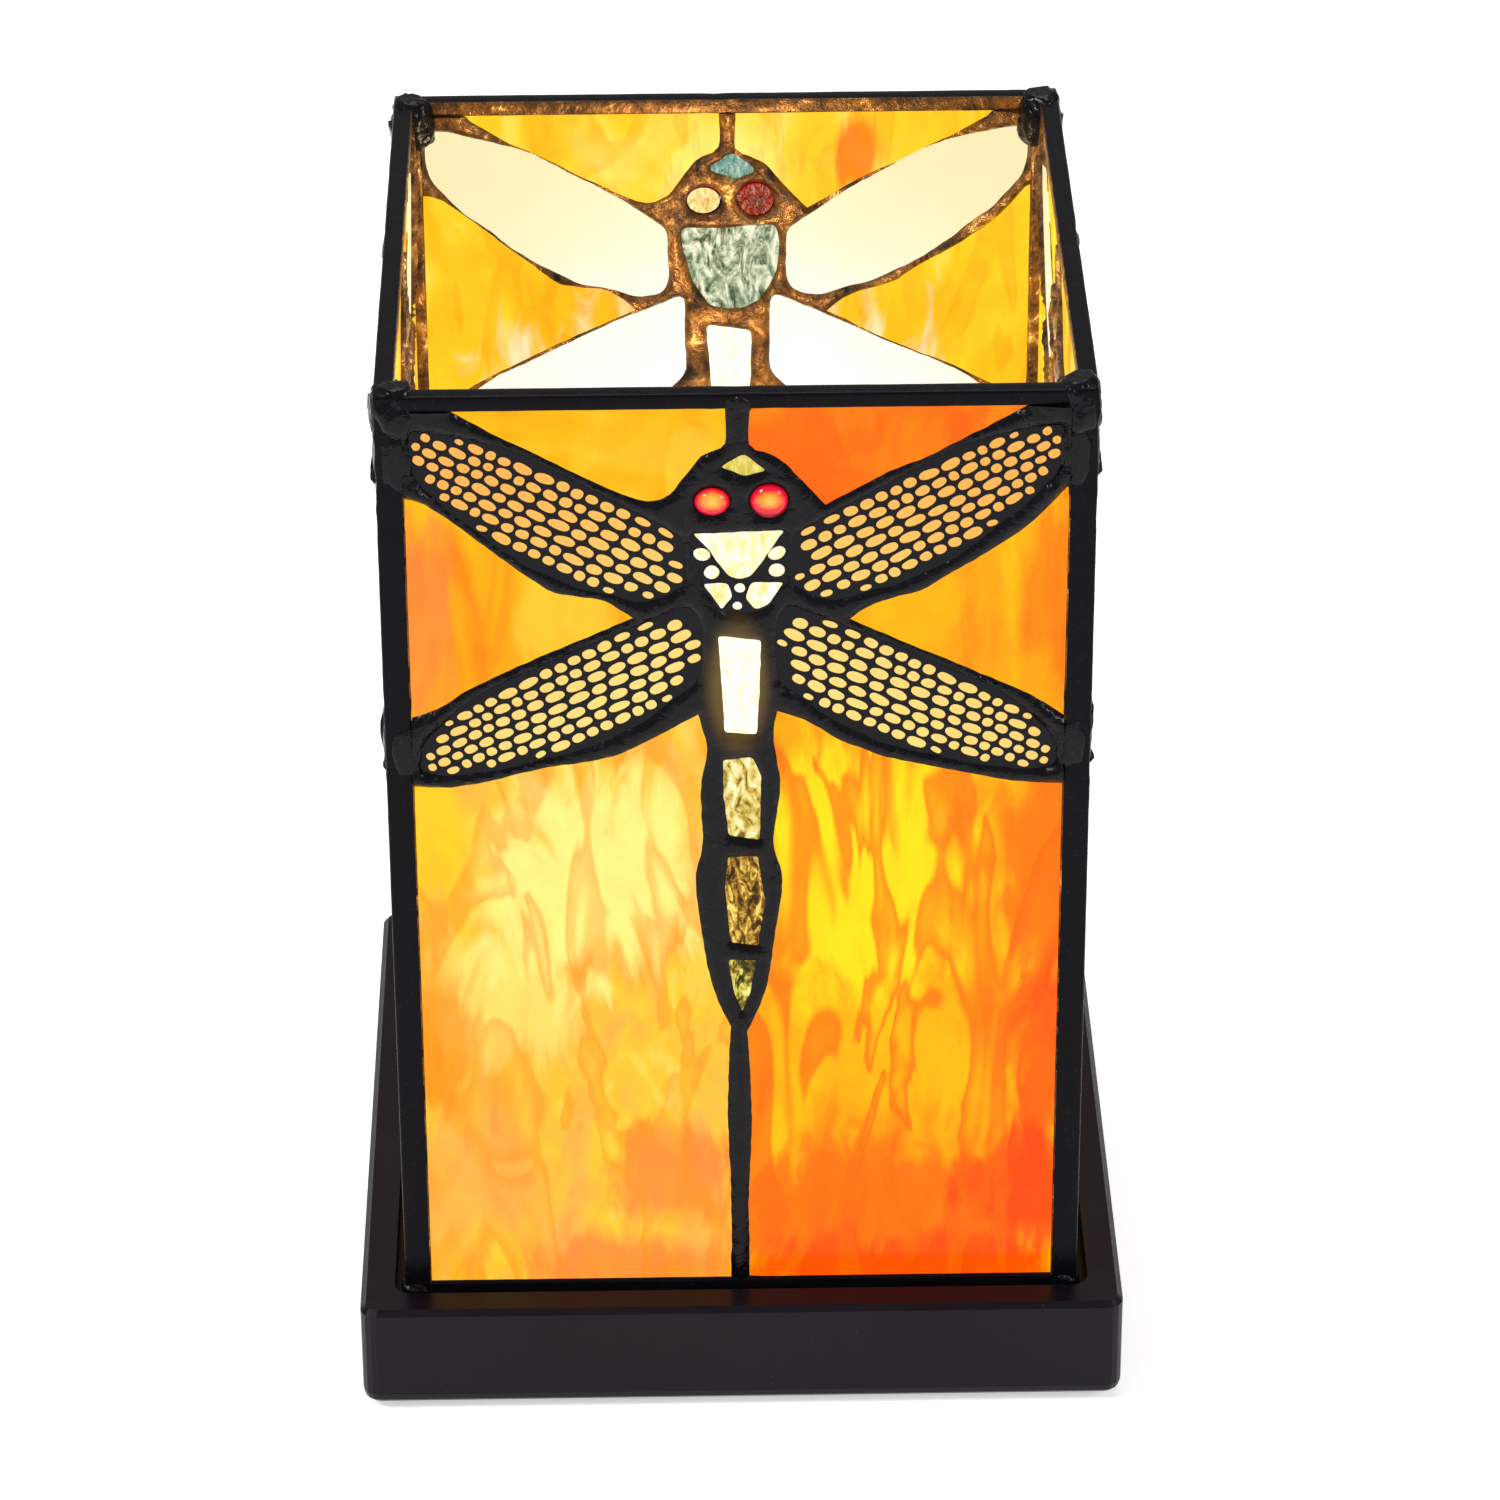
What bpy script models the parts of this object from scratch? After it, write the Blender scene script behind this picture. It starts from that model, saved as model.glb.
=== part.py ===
"""Square stained glass table lamp: a lift-off leaded shade on a wooden tray base, with a socket and bulb.

Metres, +Z up. The origin is the middle of the base, on the surface that the lamp stands on.
The shade is four panels between corner posts. Each panel is drawn flat, with x to the right,
y up from the bottom of the opening and z out of the lamp, and is then stood up on its side.
"""

import math

import bmesh
import bpy
from mathutils import Matrix, Vector

MM = 0.001
GAP = 0.3 * MM  # clearance between neighbouring pieces

CUT_PAST = 1 * MM  # how far a cutter runs past the face that it opens

# Overall sizes
SHADE_SIDE = 120 * MM
SHADE_HEIGHT = 183.5 * MM
BASE_HEIGHT = 21.6 * MM
PAD_HEIGHT = 1.2 * MM

# Base tray
RECESS_PLAY = 2 * MM  # between the shade and each wall of the recess
BASE_RAIL = 6 * MM  # width of the rim round the recess
RECESS_DEPTH = 5.6 * MM
BASE_CORNER = 3 * MM
BASE_TOP_EDGE = 1 * MM
BASE_FOOT_EDGE = 2.5 * MM
POCKET_RADIUS = 20 * MM
POCKET_COVER = 6 * MM  # wood between the wiring pocket and the recess
CORD_BORE_RADIUS = 4.5 * MM
CORD_BORE_LIFT = 0.4 * MM  # above the middle of the wood under the recess
BUSHING_WALL = 0.9 * MM
BUSHING_LENGTH = 10 * MM
BUSHING_FLANGE = 1.2 * MM
BUSHING_FLANGE_WIDTH = 1.7 * MM
PAD_RADIUS = 6 * MM
PAD_INSET = 12 * MM

# Panels, measured inwards from the shade's outer face
GLASS_FACE = 0.7 * MM
GLASS_THICKNESS = 2 * MM
GLASS_LIP = 0.6 * MM  # how far a pane runs in under the metal round it
SLOT_PLAY = 0.25 * MM
BACK_FLANGE = 0.7 * MM  # metal behind the glass
FILIGREE_THICKNESS = 0.3 * MM
PLAIN_CORNER = 6 * MM  # the sheet of a plain panel stops this far short of its upper corners
EYE_RADIUS = 2.9 * MM
EYE_DOME = 1.9 * MM

# Shade frame: square posts, and channels along the top and bottom of each panel
POST_WALL = 1.3 * MM  # how much deeper a post is than the channels
POST_RISE = 1 * MM
RIM_HEIGHT = 2.8 * MM
FOOT_HEIGHT = 6.2 * MM

# Socket
NIPPLE_RADIUS = 4.85 * MM
NIPPLE_BORE = 3.2 * MM
NIPPLE_FOOT = 2.4 * MM  # above the underside of the tray
NUT_RADIUS = 8.1 * MM
NUT_HEIGHT = 3.3 * MM
WASHER_RADIUS = 9.5 * MM
WASHER_HEIGHT = 0.7 * MM
HOUSING_WALL = 2.4 * MM
HOUSING_NECK = 6 * MM  # height of the thick foot that grips the nipple
HOUSING_WEB = 3 * MM
CONTACT_HEIGHT = 25.3 * MM  # above the floor of the recess
CONTACT_RADIUS = 3 * MM
CONTACT_HEAD = 1 * MM
CONTACT_TAIL = 5 * MM
RIVET_RADIUS = 1.3 * MM
SOCKET_DEPTH = 18.7 * MM  # from its rim down to the contact
SHELL_WALL = 1 * MM
SHELL_FOOT = 0.5 * MM  # above the contact
SHELL_DROP = 1.5 * MM  # below the socket's rim
THREAD_PITCH = 2.54 * MM
THREAD_DEPTH = 0.4 * MM
THREAD_PLAY = 0.4 * MM

# Bulb
BULB_THREAD_RADIUS = 5.5 * MM
CAP_WALL = 0.7 * MM
CAP_FOOT = 3 * MM  # above the socket's contact
CAP_DROP = 3 * MM  # from the socket's rim down to the top of the cap
CAP_FILL = 4 * MM  # between the bulb's end contact and its stem
BULB_RADIUS = 17 * MM
BULB_RISE = 90 * MM  # of its tip above the socket's rim
BULB_WALL = 0.8 * MM
STEM_RADIUS = 1.4 * MM
STEM_PLAY = 0.8 * MM  # between the stem's foot and the cap
WIRE_RADIUS = 0.45 * MM
# Outlines of the bulb, as shares of its largest radius and of its length above its cap.
BULB_NECK = 0.05
BULB_PROFILE = [
    (0.50, 0.10), (0.74, 0.18), (0.93, 0.27), (1.0, 0.36), (0.98, 0.44), (0.91, 0.54),
    (0.76, 0.65), (0.56, 0.77), (0.35, 0.87), (0.17, 0.95), (0.07, 0.985), (0.0, 1.0),
]
FILAMENT_PATH = [(0.035, 0.03), (0.19, 0.07), (0.38, 0.42), (0.42, 0.53), (0.21, 0.58), (0.0, 0.53)]
STEM_TOP = 0.37
STEM_FOOT = 0.09

# Sizes and heights that follow
RECESS_SIDE = SHADE_SIDE + 2 * RECESS_PLAY
BASE_SIDE = RECESS_SIDE + 2 * BASE_RAIL
RECESS_FLOOR = BASE_HEIGHT - RECESS_DEPTH
POCKET_TOP = RECESS_FLOOR - POCKET_COVER
CORD_BORE_HEIGHT = (PAD_HEIGHT + RECESS_FLOOR) / 2 + CORD_BORE_LIFT
BUSHING_FLANGE_RADIUS = CORD_BORE_RADIUS + BUSHING_FLANGE_WIDTH
GLASS_BACK = GLASS_FACE + GLASS_THICKNESS
CHANNEL_DEPTH = GLASS_BACK + BACK_FLANGE
POST_SIDE = CHANNEL_DEPTH + POST_WALL
SHADE_FLOOR = RECESS_FLOOR + GAP
OPENING_FLOOR = SHADE_FLOOR + FOOT_HEIGHT
OPENING_HEIGHT = SHADE_HEIGHT - FOOT_HEIGHT - RIM_HEIGHT
OPENING_HALF = SHADE_SIDE / 2 - POST_SIDE
CONTACT_TOP = RECESS_FLOOR + CONTACT_HEIGHT
SOCKET_TOP = CONTACT_TOP + SOCKET_DEPTH
SHELL_THREAD_RADIUS = BULB_THREAD_RADIUS + THREAD_PLAY
SOCKET_BORE = SHELL_THREAD_RADIUS + THREAD_DEPTH + SHELL_WALL + GAP
SOCKET_RADIUS = SOCKET_BORE + HOUSING_WALL
BULB_TOP = SOCKET_TOP + BULB_RISE

# The dragonfly pattern was drawn for an opening of this size, and stretches with the real one.
PATTERN_HALF = 55.3
PATTERN_HEIGHT = 174.5

# Right half of the pattern in millimetres, from the middle line and the foot of the opening.
HEAD_EDGE = [(2.1, 174.5), (2.0, 168.5), (6.4, 166.5), (9.6, 162.8), (12.2, 159.4), (14.4, 157.5)]
UPPER_WING_TOP = [(25.2, 162.9), (37.5, 169.4), (48.0, 174.5)]
UPPER_WING_BOTTOM = [
    (55.3, 159.8), (50.0, 155.2), (41.8, 148.8), (33.0, 142.2), (28.5, 140.2), (22.6, 138.6), (18.8, 135.9),
]
LOWER_WING_TOP = [(30.0, 130.8), (38.0, 127.0), (45.5, 122.4), (51.0, 118.9), (55.3, 116.8)]
LOWER_WING_BOTTOM = [
    (55.3, 103.0), (49.0, 103.4), (42.0, 104.6), (33.0, 106.8), (24.0, 108.9), (17.0, 111.7), (6.8, 117.4),
]
ABDOMEN_EDGE = [
    (5.9, 110.2), (6.8, 102.4), (6.1, 91.6), (7.4, 84.2), (6.0, 71.5), (4.5, 61.6), (1.5, 53.4),
    (2.1, 36.3), (1.5, 17.1), (1.6, 0.0),
]
UPPER_WING_GLASS = [
    (11.6, 153.0), (24.5, 159.6), (37.0, 166.2), (46.5, 170.3), (50.6, 170.6), (52.2, 167.6), (51.2, 162.6),
    (48.4, 158.6), (40.5, 151.4), (32.0, 145.0), (22.0, 142.0), (13.4, 140.8),
]
LOWER_WING_GLASS = [
    (8.2, 135.4), (12.4, 135.0), (19.5, 133.0), (29.0, 128.2), (37.0, 124.4), (44.0, 120.2), (50.0, 115.4),
    (52.6, 111.4), (51.8, 107.4), (48.4, 106.4), (43.0, 107.0), (33.5, 109.3), (24.5, 111.5), (17.8, 114.3),
    (9.0, 121.8),
]
# Outlines that cross the middle line: their right halves, from top to bottom.
HEAD_GLASS = [(0.0, 167.0), (3.8, 163.8), (0.0, 162.6)]
THORAX_GLASS = [(8.0, 152.2), (7.9, 145.5), (6.2, 139.4), (2.8, 136.3)]
ABDOMEN_GLASS = [
    [(3.6, 131.9), (2.8, 113.4)],
    [(2.6, 108.7), (3.2, 104.5), (2.6, 92.6)],
    [(2.6, 88.8), (3.5, 82.0), (2.5, 71.2)],
    [(2.4, 67.9), (1.6, 61.5), (0.0, 57.0)],
]
EYE_CENTRE = (4.8, 158.0)
# Windows of the thorax filigree, right half: a round-ended slot as centre, half width, half height, turn.
THORAX_WINDOWS = [(5.6, 147.4, 1.3, 0.9, 20.0), (6.1, 144.2, 0.9, 0.9, 0.0), (4.4, 140.8, 1.7, 1.2, 50.0)]
THORAX_MIDDLE_WINDOW = [(6.2, 151.3), (1.5, 144.6)]
THORAX_DOTS = [(0.0, 141.8, 0.8), (0.0, 138.2, 0.8)]

PANELS = {"front": 0, "right": 90, "back": 180, "left": 270}
SIDES = {"left": -1, "right": 1}
WINGS = {"upper": UPPER_WING_GLASS, "lower": LOWER_WING_GLASS}

# name: colour, roughness, metallic
LOOKS = {
    "amber_glass": ((1.0, 0.50, 0.08), 0.15, 0.0),
    "wing_glass": ((1.0, 0.86, 0.60), 0.25, 0.0),
    "ripple_glass": ((0.85, 0.80, 0.45), 0.10, 0.0),
    "eye_glass": ((0.80, 0.02, 0.04), 0.05, 0.0),
    "patina": ((0.030, 0.025, 0.030), 0.35, 1.0),
    "filigree": ((0.020, 0.018, 0.022), 0.45, 1.0),
    "base_wood": ((0.030, 0.024, 0.027), 0.40, 0.0),
    "pad": ((0.030, 0.030, 0.030), 0.90, 0.0),
    "bushing": ((0.020, 0.020, 0.020), 0.50, 0.0),
    "brass": ((0.80, 0.58, 0.25), 0.30, 1.0),
    "steel": ((0.60, 0.60, 0.60), 0.35, 1.0),
    "phenolic": ((0.040, 0.030, 0.025), 0.45, 0.0),
    "bulb_glass": ((1.0, 0.95, 0.85), 0.05, 0.0),
    "filament": ((1.0, 0.70, 0.30), 0.40, 0.0),
}


# ---------------------------------------------------------------- scene helpers


def clear_scene():
    for obj in list(bpy.data.objects):
        bpy.data.objects.remove(obj)


def new_collection(name, hidden=False):
    collection = bpy.data.collections.new(name)
    collection.hide_render = hidden
    bpy.context.scene.collection.children.link(collection)
    return collection


def material(name):
    if name in bpy.data.materials:
        return bpy.data.materials[name]
    colour, roughness, metallic = LOOKS[name]
    made = bpy.data.materials.new(name)
    made.use_nodes = True
    shader = made.node_tree.nodes["Principled BSDF"]
    shader.inputs["Base Color"].default_value = (*colour, 1.0)
    shader.inputs["Roughness"].default_value = roughness
    shader.inputs["Metallic"].default_value = metallic
    return made


def add_object(name, data, look=None, parent=None):
    """A piece of the lamp, or a hidden cutter when it has no look."""
    obj = bpy.data.objects.new(name, data)
    if look:
        lamp.objects.link(obj)
        data.materials.clear()
        data.materials.append(material(look))
    else:
        cutters.objects.link(obj)
        obj.hide_render = True
        obj.display_type = "WIRE"
    obj.parent = parent
    return obj


def add_empty(name, location=(0, 0, 0), rotation=(0, 0, 0), parent=None):
    empty = bpy.data.objects.new(name, None)
    empty.empty_display_size = 20 * MM
    empty.location = location
    empty.rotation_euler = rotation
    empty.parent = parent
    lamp.objects.link(empty)
    return empty


def face_outwards(bm):
    bmesh.ops.recalc_face_normals(bm, faces=bm.faces)
    if bm.calc_volume(signed=True) < 0:
        bmesh.ops.reverse_faces(bm, faces=bm.faces)


def mesh_from(name, build):
    """A mesh filled by build, which is given an empty bmesh."""
    mesh = bpy.data.meshes.new(name)
    bm = bmesh.new()
    build(bm)
    face_outwards(bm)
    bm.to_mesh(mesh)
    bm.free()
    return mesh


def mesh_from_curve(name, curve):
    """The curve's evaluated mesh with its caps welded on; the curve itself is removed."""
    guide = bpy.data.objects.new(name, curve)
    cutters.objects.link(guide)
    graph = bpy.context.evaluated_depsgraph_get()
    found = bpy.data.meshes.new_from_object(guide.evaluated_get(graph))
    bpy.data.objects.remove(guide)
    bpy.data.curves.remove(curve)

    def build(bm):
        bm.from_mesh(found)
        bmesh.ops.remove_doubles(bm, verts=bm.verts, dist=0.001 * MM)

    mesh = mesh_from(name, build)
    bpy.data.meshes.remove(found)
    return mesh


def cut(obj, cutter):
    modifier = obj.modifiers.new("cut_" + cutter.name, "BOOLEAN")
    modifier.operation = "DIFFERENCE"
    modifier.solver = "EXACT"
    modifier.object = cutter


def join(obj, other):
    modifier = obj.modifiers.new("join_" + other.name, "BOOLEAN")
    modifier.operation = "UNION"
    modifier.solver = "EXACT"
    modifier.object = other


def smooth(obj, angle=40):
    obj.data.shade_smooth()
    obj.data.set_sharp_from_angle(angle=math.radians(angle))


def box_mesh(name, low, high):
    centre = (Vector(low) + Vector(high)) / 2
    size = Vector(high) - Vector(low)

    def build(bm):
        matrix = Matrix.Translation(centre) @ Matrix.Diagonal((*size, 1))
        bmesh.ops.create_cube(bm, size=1, matrix=matrix)

    return mesh_from(name, build)


def cylinder_mesh(name, radius, low, high, sides=32, rotation=None):
    """A cylinder along z, or along the axis that rotation turns z to."""

    def build(bm):
        place = (rotation or Matrix.Identity(4)) @ Matrix.Translation((0, 0, (low + high) / 2))
        bmesh.ops.create_cone(
            bm, cap_ends=True, segments=sides, radius1=radius, radius2=radius, depth=high - low, matrix=place
        )

    return mesh_from(name, build)


def turned(name, profile, look, parent=None, steps=32, closed=False):
    """A turned piece: its profile, in metres, runs down the outer side and is screwed round z."""
    mesh = bpy.data.meshes.new(name)
    points = [(r, 0, z) for r, z in profile]
    edges = [(i, i + 1) for i in range(len(points) - 1)]
    if closed:
        edges.append((len(points) - 1, 0))
    mesh.from_pydata(points, edges, [])
    obj = add_object(name, mesh, look, parent)
    screw = obj.modifiers.new("turn", "SCREW")
    screw.steps = steps
    screw.render_steps = steps
    screw.use_merge_vertices = True
    screw.merge_threshold = 0.0001 * MM
    screw.use_smooth_shade = True
    return obj


# ---------------------------------------------------------------- flat outlines


def flat_mesh(name, outlines, low, high):
    """The area inside the first outline and outside the others, from z = low to high."""
    curve = bpy.data.curves.new(name, "CURVE")
    curve.dimensions = "2D"
    curve.fill_mode = "BOTH"
    curve.extrude = (high - low) / 2
    for outline in outlines:
        spline = curve.splines.new("POLY")
        spline.points.add(len(outline) - 1)
        for point, (x, y) in zip(spline.points, outline):
            point.co = (x, y, 0, 1)
        spline.use_cyclic_u = True
    mesh = mesh_from_curve(name, curve)
    mesh.transform(Matrix.Translation((0, 0, (low + high) / 2)))
    return mesh


def scaled(points, side=1):
    """Pattern points stretched to the real opening, in metres, on the right (1) or the left (-1)."""
    kx = OPENING_HALF / PATTERN_HALF * side
    ky = OPENING_HEIGHT / PATTERN_HEIGHT
    return [(x * kx, y * ky) for x, y in points]


def mirrored(points):
    """A whole outline from the right half of one that crosses the middle line."""
    right = scaled(points)
    left = [(-x, y) for x, y in reversed(right) if abs(x) > 1e-9]
    return right + left


def signed_area(outline):
    ends = outline[1:] + outline[:1]
    return sum(x0 * y1 - x1 * y0 for (x0, y0), (x1, y1) in zip(outline, ends)) / 2


def grown(outline, distance):
    """The outline moved outwards by distance, with square joins."""
    if signed_area(outline) < 0:
        outline = outline[::-1]
    moved = []
    for i, here in enumerate(outline):
        before = Vector(here) - Vector(outline[i - 1])
        after = Vector(outline[(i + 1) % len(outline)]) - Vector(here)
        out_before = Vector((before.y, -before.x)).normalized()
        out_after = Vector((after.y, -after.x)).normalized()
        middle = (out_before + out_after).normalized()
        reach = distance / max(middle.dot(out_before), 0.45)
        moved.append((here[0] + middle.x * reach, here[1] + middle.y * reach))
    return moved


def ring(centre, radius, count=12):
    turns = [2 * math.pi * i / count for i in range(count)]
    return [(centre[0] + radius * math.cos(a), centre[1] + radius * math.sin(a)) for a in turns]


def slot(centre, half_width, half_height, turn, side):
    """A round-ended slot as eight points."""
    corner = math.radians(22.5)
    angle = math.radians(turn)
    points = []
    for i in range(8):
        x = half_width * math.cos(corner + i * math.pi / 4)
        y = half_height * math.sin(corner + i * math.pi / 4)
        points.append((centre[0] + x * math.cos(angle) - y * math.sin(angle),
                       centre[1] + x * math.sin(angle) + y * math.cos(angle)))
    return scaled(points, side)


def silhouette():
    """The whole dragonfly with its tail, whose wing tips reach the corner posts."""
    right = (
        HEAD_EDGE + UPPER_WING_TOP + [(PATTERN_HALF, PATTERN_HEIGHT)] + UPPER_WING_BOTTOM + LOWER_WING_TOP
        + LOWER_WING_BOTTOM + ABDOMEN_EDGE
    )
    whole = mirrored(right)
    reach = OPENING_HALF - GAP
    low = GAP
    high = OPENING_HEIGHT - GAP
    return [(min(max(x, -reach), reach), min(max(y, low), high)) for x, y in whole]


def background_outlines(side):
    """The three panes of background glass on one side of the dragonfly, as they show."""
    top = HEAD_EDGE + UPPER_WING_TOP
    middle = UPPER_WING_BOTTOM + LOWER_WING_TOP
    low = LOWER_WING_BOTTOM + ABDOMEN_EDGE + [(PATTERN_HALF, 0.0)]
    return {"top": scaled(top, side), "middle": scaled(middle, side), "lower": scaled(low, side)}


def dragonfly_outlines():
    """The openings inside the silhouette, as the glass shows through them."""
    found = {}
    for side_name, side in SIDES.items():
        for wing, outline in WINGS.items():
            found[f"wing_{wing}_{side_name}"] = scaled(outline, side)
        centre = scaled([EYE_CENTRE], side)[0]
        found[f"eye_{side_name}"] = ring(centre, EYE_RADIUS)
    found["head"] = mirrored(HEAD_GLASS)
    found["thorax"] = mirrored(THORAX_GLASS)
    for number, outline in enumerate(ABDOMEN_GLASS, 1):
        found[f"abdomen_{number}"] = mirrored(outline)
    return found


# ---------------------------------------------------------------- shade


def pane_mesh(name, outline):
    shape = grown(outline, GLASS_LIP)
    return flat_mesh(name, [shape], -GLASS_BACK, -GLASS_FACE)


def leading(side_name, panel, pockets):
    """The soldered metal of one panel, grooved where it holds the glass."""
    outlines = [silhouette(), *dragonfly_outlines().values()]
    body = flat_mesh(f"{side_name}_leading", outlines, -CHANNEL_DEPTH, 0)
    obj = add_object(f"{side_name}_leading", body, "patina", panel)
    low = -GLASS_BACK - SLOT_PLAY
    high = -GLASS_FACE + SLOT_PLAY
    for pocket_name, outline in pockets.items():
        shape = grown(outline, GLASS_LIP + GAP)
        pocket = flat_mesh(f"{side_name}_pocket_{pocket_name}", [shape], low, high)
        cut(obj, add_object(pocket.name, pocket, None, panel))
    return obj


def cabochon(name, centre, panel):
    """A glass eye: a flat back on the glass line and a dome that stands out of the leading."""
    radius = EYE_RADIUS - GAP
    profile = [(0, EYE_DOME - GLASS_FACE)]
    for angle in (70, 50, 30, 10):
        a = math.radians(angle)
        profile.append((radius * math.cos(a), -GLASS_FACE + EYE_DOME * math.sin(a)))
    profile += [(radius, -GLASS_BACK), (0, -GLASS_BACK)]
    obj = turned(name, profile, "eye_glass", panel, steps=12)
    obj.location = (*centre, 0)


def make_detailed_panel(side_name, panel):
    """Every pane, overlay and eye as its own piece."""
    pockets = {}
    for hand, side in SIDES.items():
        for place, outline in background_outlines(side).items():
            name = f"{side_name}_glass_{place}_{hand}"
            add_object(name, pane_mesh(name, outline), "amber_glass", panel)
            pockets[f"{place}_{hand}"] = outline
    for place, outline in dragonfly_outlines().items():
        if place.startswith("eye"):
            continue
        look = "wing_glass" if place.startswith("wing") else "ripple_glass"
        name = f"{side_name}_glass_{place}"
        add_object(name, pane_mesh(name, outline), look, panel)
        pockets[place] = outline
    leading(side_name, panel, pockets)
    for hand, side in SIDES.items():
        cabochon(f"{side_name}_eye_{hand}", scaled([EYE_CENTRE], side)[0], panel)
    low = -GLASS_FACE + GAP
    high = low + FILIGREE_THICKNESS
    for place, outline in dragonfly_outlines().items():
        if place.startswith("wing"):
            name = f"{side_name}_filigree_{place}"
            shape = grown(outline, -GAP)
            add_object(name, flat_mesh(name, [shape], low, high), "filigree", panel)
    name = f"{side_name}_filigree_thorax"
    shapes = [grown(dragonfly_outlines()["thorax"], -GAP)]
    shapes.append(mirrored(THORAX_MIDDLE_WINDOW))
    for side in SIDES.values():
        for x, y, half_width, half_height, turn in THORAX_WINDOWS:
            shapes.append(slot((x, y), half_width, half_height, turn, side))
    for x, y, radius in THORAX_DOTS:
        shapes.append(ring(scaled([(x, y)])[0], radius * MM, 8))
    add_object(name, flat_mesh(name, shapes, low, high), "filigree", panel)


def make_post(name, corner):
    """A square corner post, grooved on its two inner sides for the edges of the glass."""
    half = SHADE_SIDE / 2
    slot_low = GLASS_FACE - SLOT_PLAY
    slot_high = GLASS_BACK + SLOT_PLAY
    depth = GLASS_LIP + GAP
    inner = half - POST_SIDE
    profile = [
        (half, -half), (half, -inner), (half - slot_low, -inner), (half - slot_low, -inner - depth),
        (half - slot_high, -inner - depth), (half - slot_high, -inner), (inner, -inner),
        (inner, -half + slot_high), (inner + depth, -half + slot_high), (inner + depth, -half + slot_low),
        (inner, -half + slot_low), (inner, -half),
    ]
    top = SHADE_FLOOR + SHADE_HEIGHT + POST_RISE
    mesh = flat_mesh(name, [profile], SHADE_FLOOR, top)
    obj = add_object(name, mesh, "patina", shade)
    obj.rotation_euler = (0, 0, math.radians(corner))
    return obj


def make_channel(name, panel, low, high, slot_from, slot_to):
    """A channel along one edge of a panel, with a slot for the glass; heights from the opening's floor."""
    reach = OPENING_HALF - GAP
    bar = add_object(name, box_mesh(name, (-reach, low, -CHANNEL_DEPTH), (reach, high, 0)), "patina", panel)
    past = reach + CUT_PAST
    slot_low = -GLASS_BACK - SLOT_PLAY
    slot_high = -GLASS_FACE + SLOT_PLAY
    groove = box_mesh(name + "_slot", (-past, slot_from, slot_low), (past, slot_to, slot_high))
    cut(bar, add_object(name + "_slot", groove, None, panel))


def make_shade():
    for number, corner in enumerate(("front_right", "back_right", "back_left", "front_left")):
        make_post(f"corner_post_{corner}", 90 * number)
    depth = GLASS_LIP + GAP
    for side_name, turn in PANELS.items():
        angle = math.radians(turn)
        outward = Vector((math.sin(angle), -math.cos(angle), 0))
        place = outward * (SHADE_SIDE / 2) + Vector((0, 0, OPENING_FLOOR))
        panel = add_empty(f"{side_name}_panel", place, (math.radians(90), 0, angle), shade)
        if side_name == "front":
            make_detailed_panel(side_name, panel)
        else:
            make_plain_panel(side_name, panel)
        rim = OPENING_HEIGHT
        make_channel(f"rim_channel_{side_name}", panel, rim, rim + RIM_HEIGHT, rim - depth, rim + depth)
        make_channel(f"foot_channel_{side_name}", panel, -FOOT_HEIGHT, 0, -depth, depth)


def make_plain_panel(side_name, panel):
    """One sheet stands for all the panes. The metal goes through it only at the two upper corners."""
    half = OPENING_HALF
    rise = OPENING_HEIGHT
    right = [(half, 0), (half, rise - PLAIN_CORNER), (half - PLAIN_CORNER, rise)]
    sheet = right + [(-x, y) for x, y in reversed(right)]
    name = f"{side_name}_glass"
    add_object(name, pane_mesh(name, sheet), "amber_glass", panel)
    leading(side_name, panel, {"sheet": sheet})


# ---------------------------------------------------------------- base


def rounded_block(name, side, low, high, corner, top_edge=0.0, foot_edge=0.0):
    """A square block with rounded upright corners and, where given, softened top and foot edges."""

    def build(bm):
        matrix = Matrix.Translation((0, 0, (low + high) / 2)) @ Matrix.Diagonal((side, side, high - low, 1))
        bmesh.ops.create_cube(bm, size=1, matrix=matrix)
        upright = [e for e in bm.edges if abs(e.verts[0].co.z - e.verts[1].co.z) > (high - low) / 2]
        bmesh.ops.bevel(bm, geom=upright, offset=corner, segments=4, profile=0.5, affect="EDGES")
        for level, width, steps in ((high, top_edge, 1), (low, foot_edge, 3)):
            if width:
                level_edges = [e for e in bm.edges if all(abs(v.co.z - level) < GAP / 2 for v in e.verts)]
                bmesh.ops.bevel(bm, geom=level_edges, offset=width, segments=steps, profile=0.5, affect="EDGES")

    return mesh_from(name, build)


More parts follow.
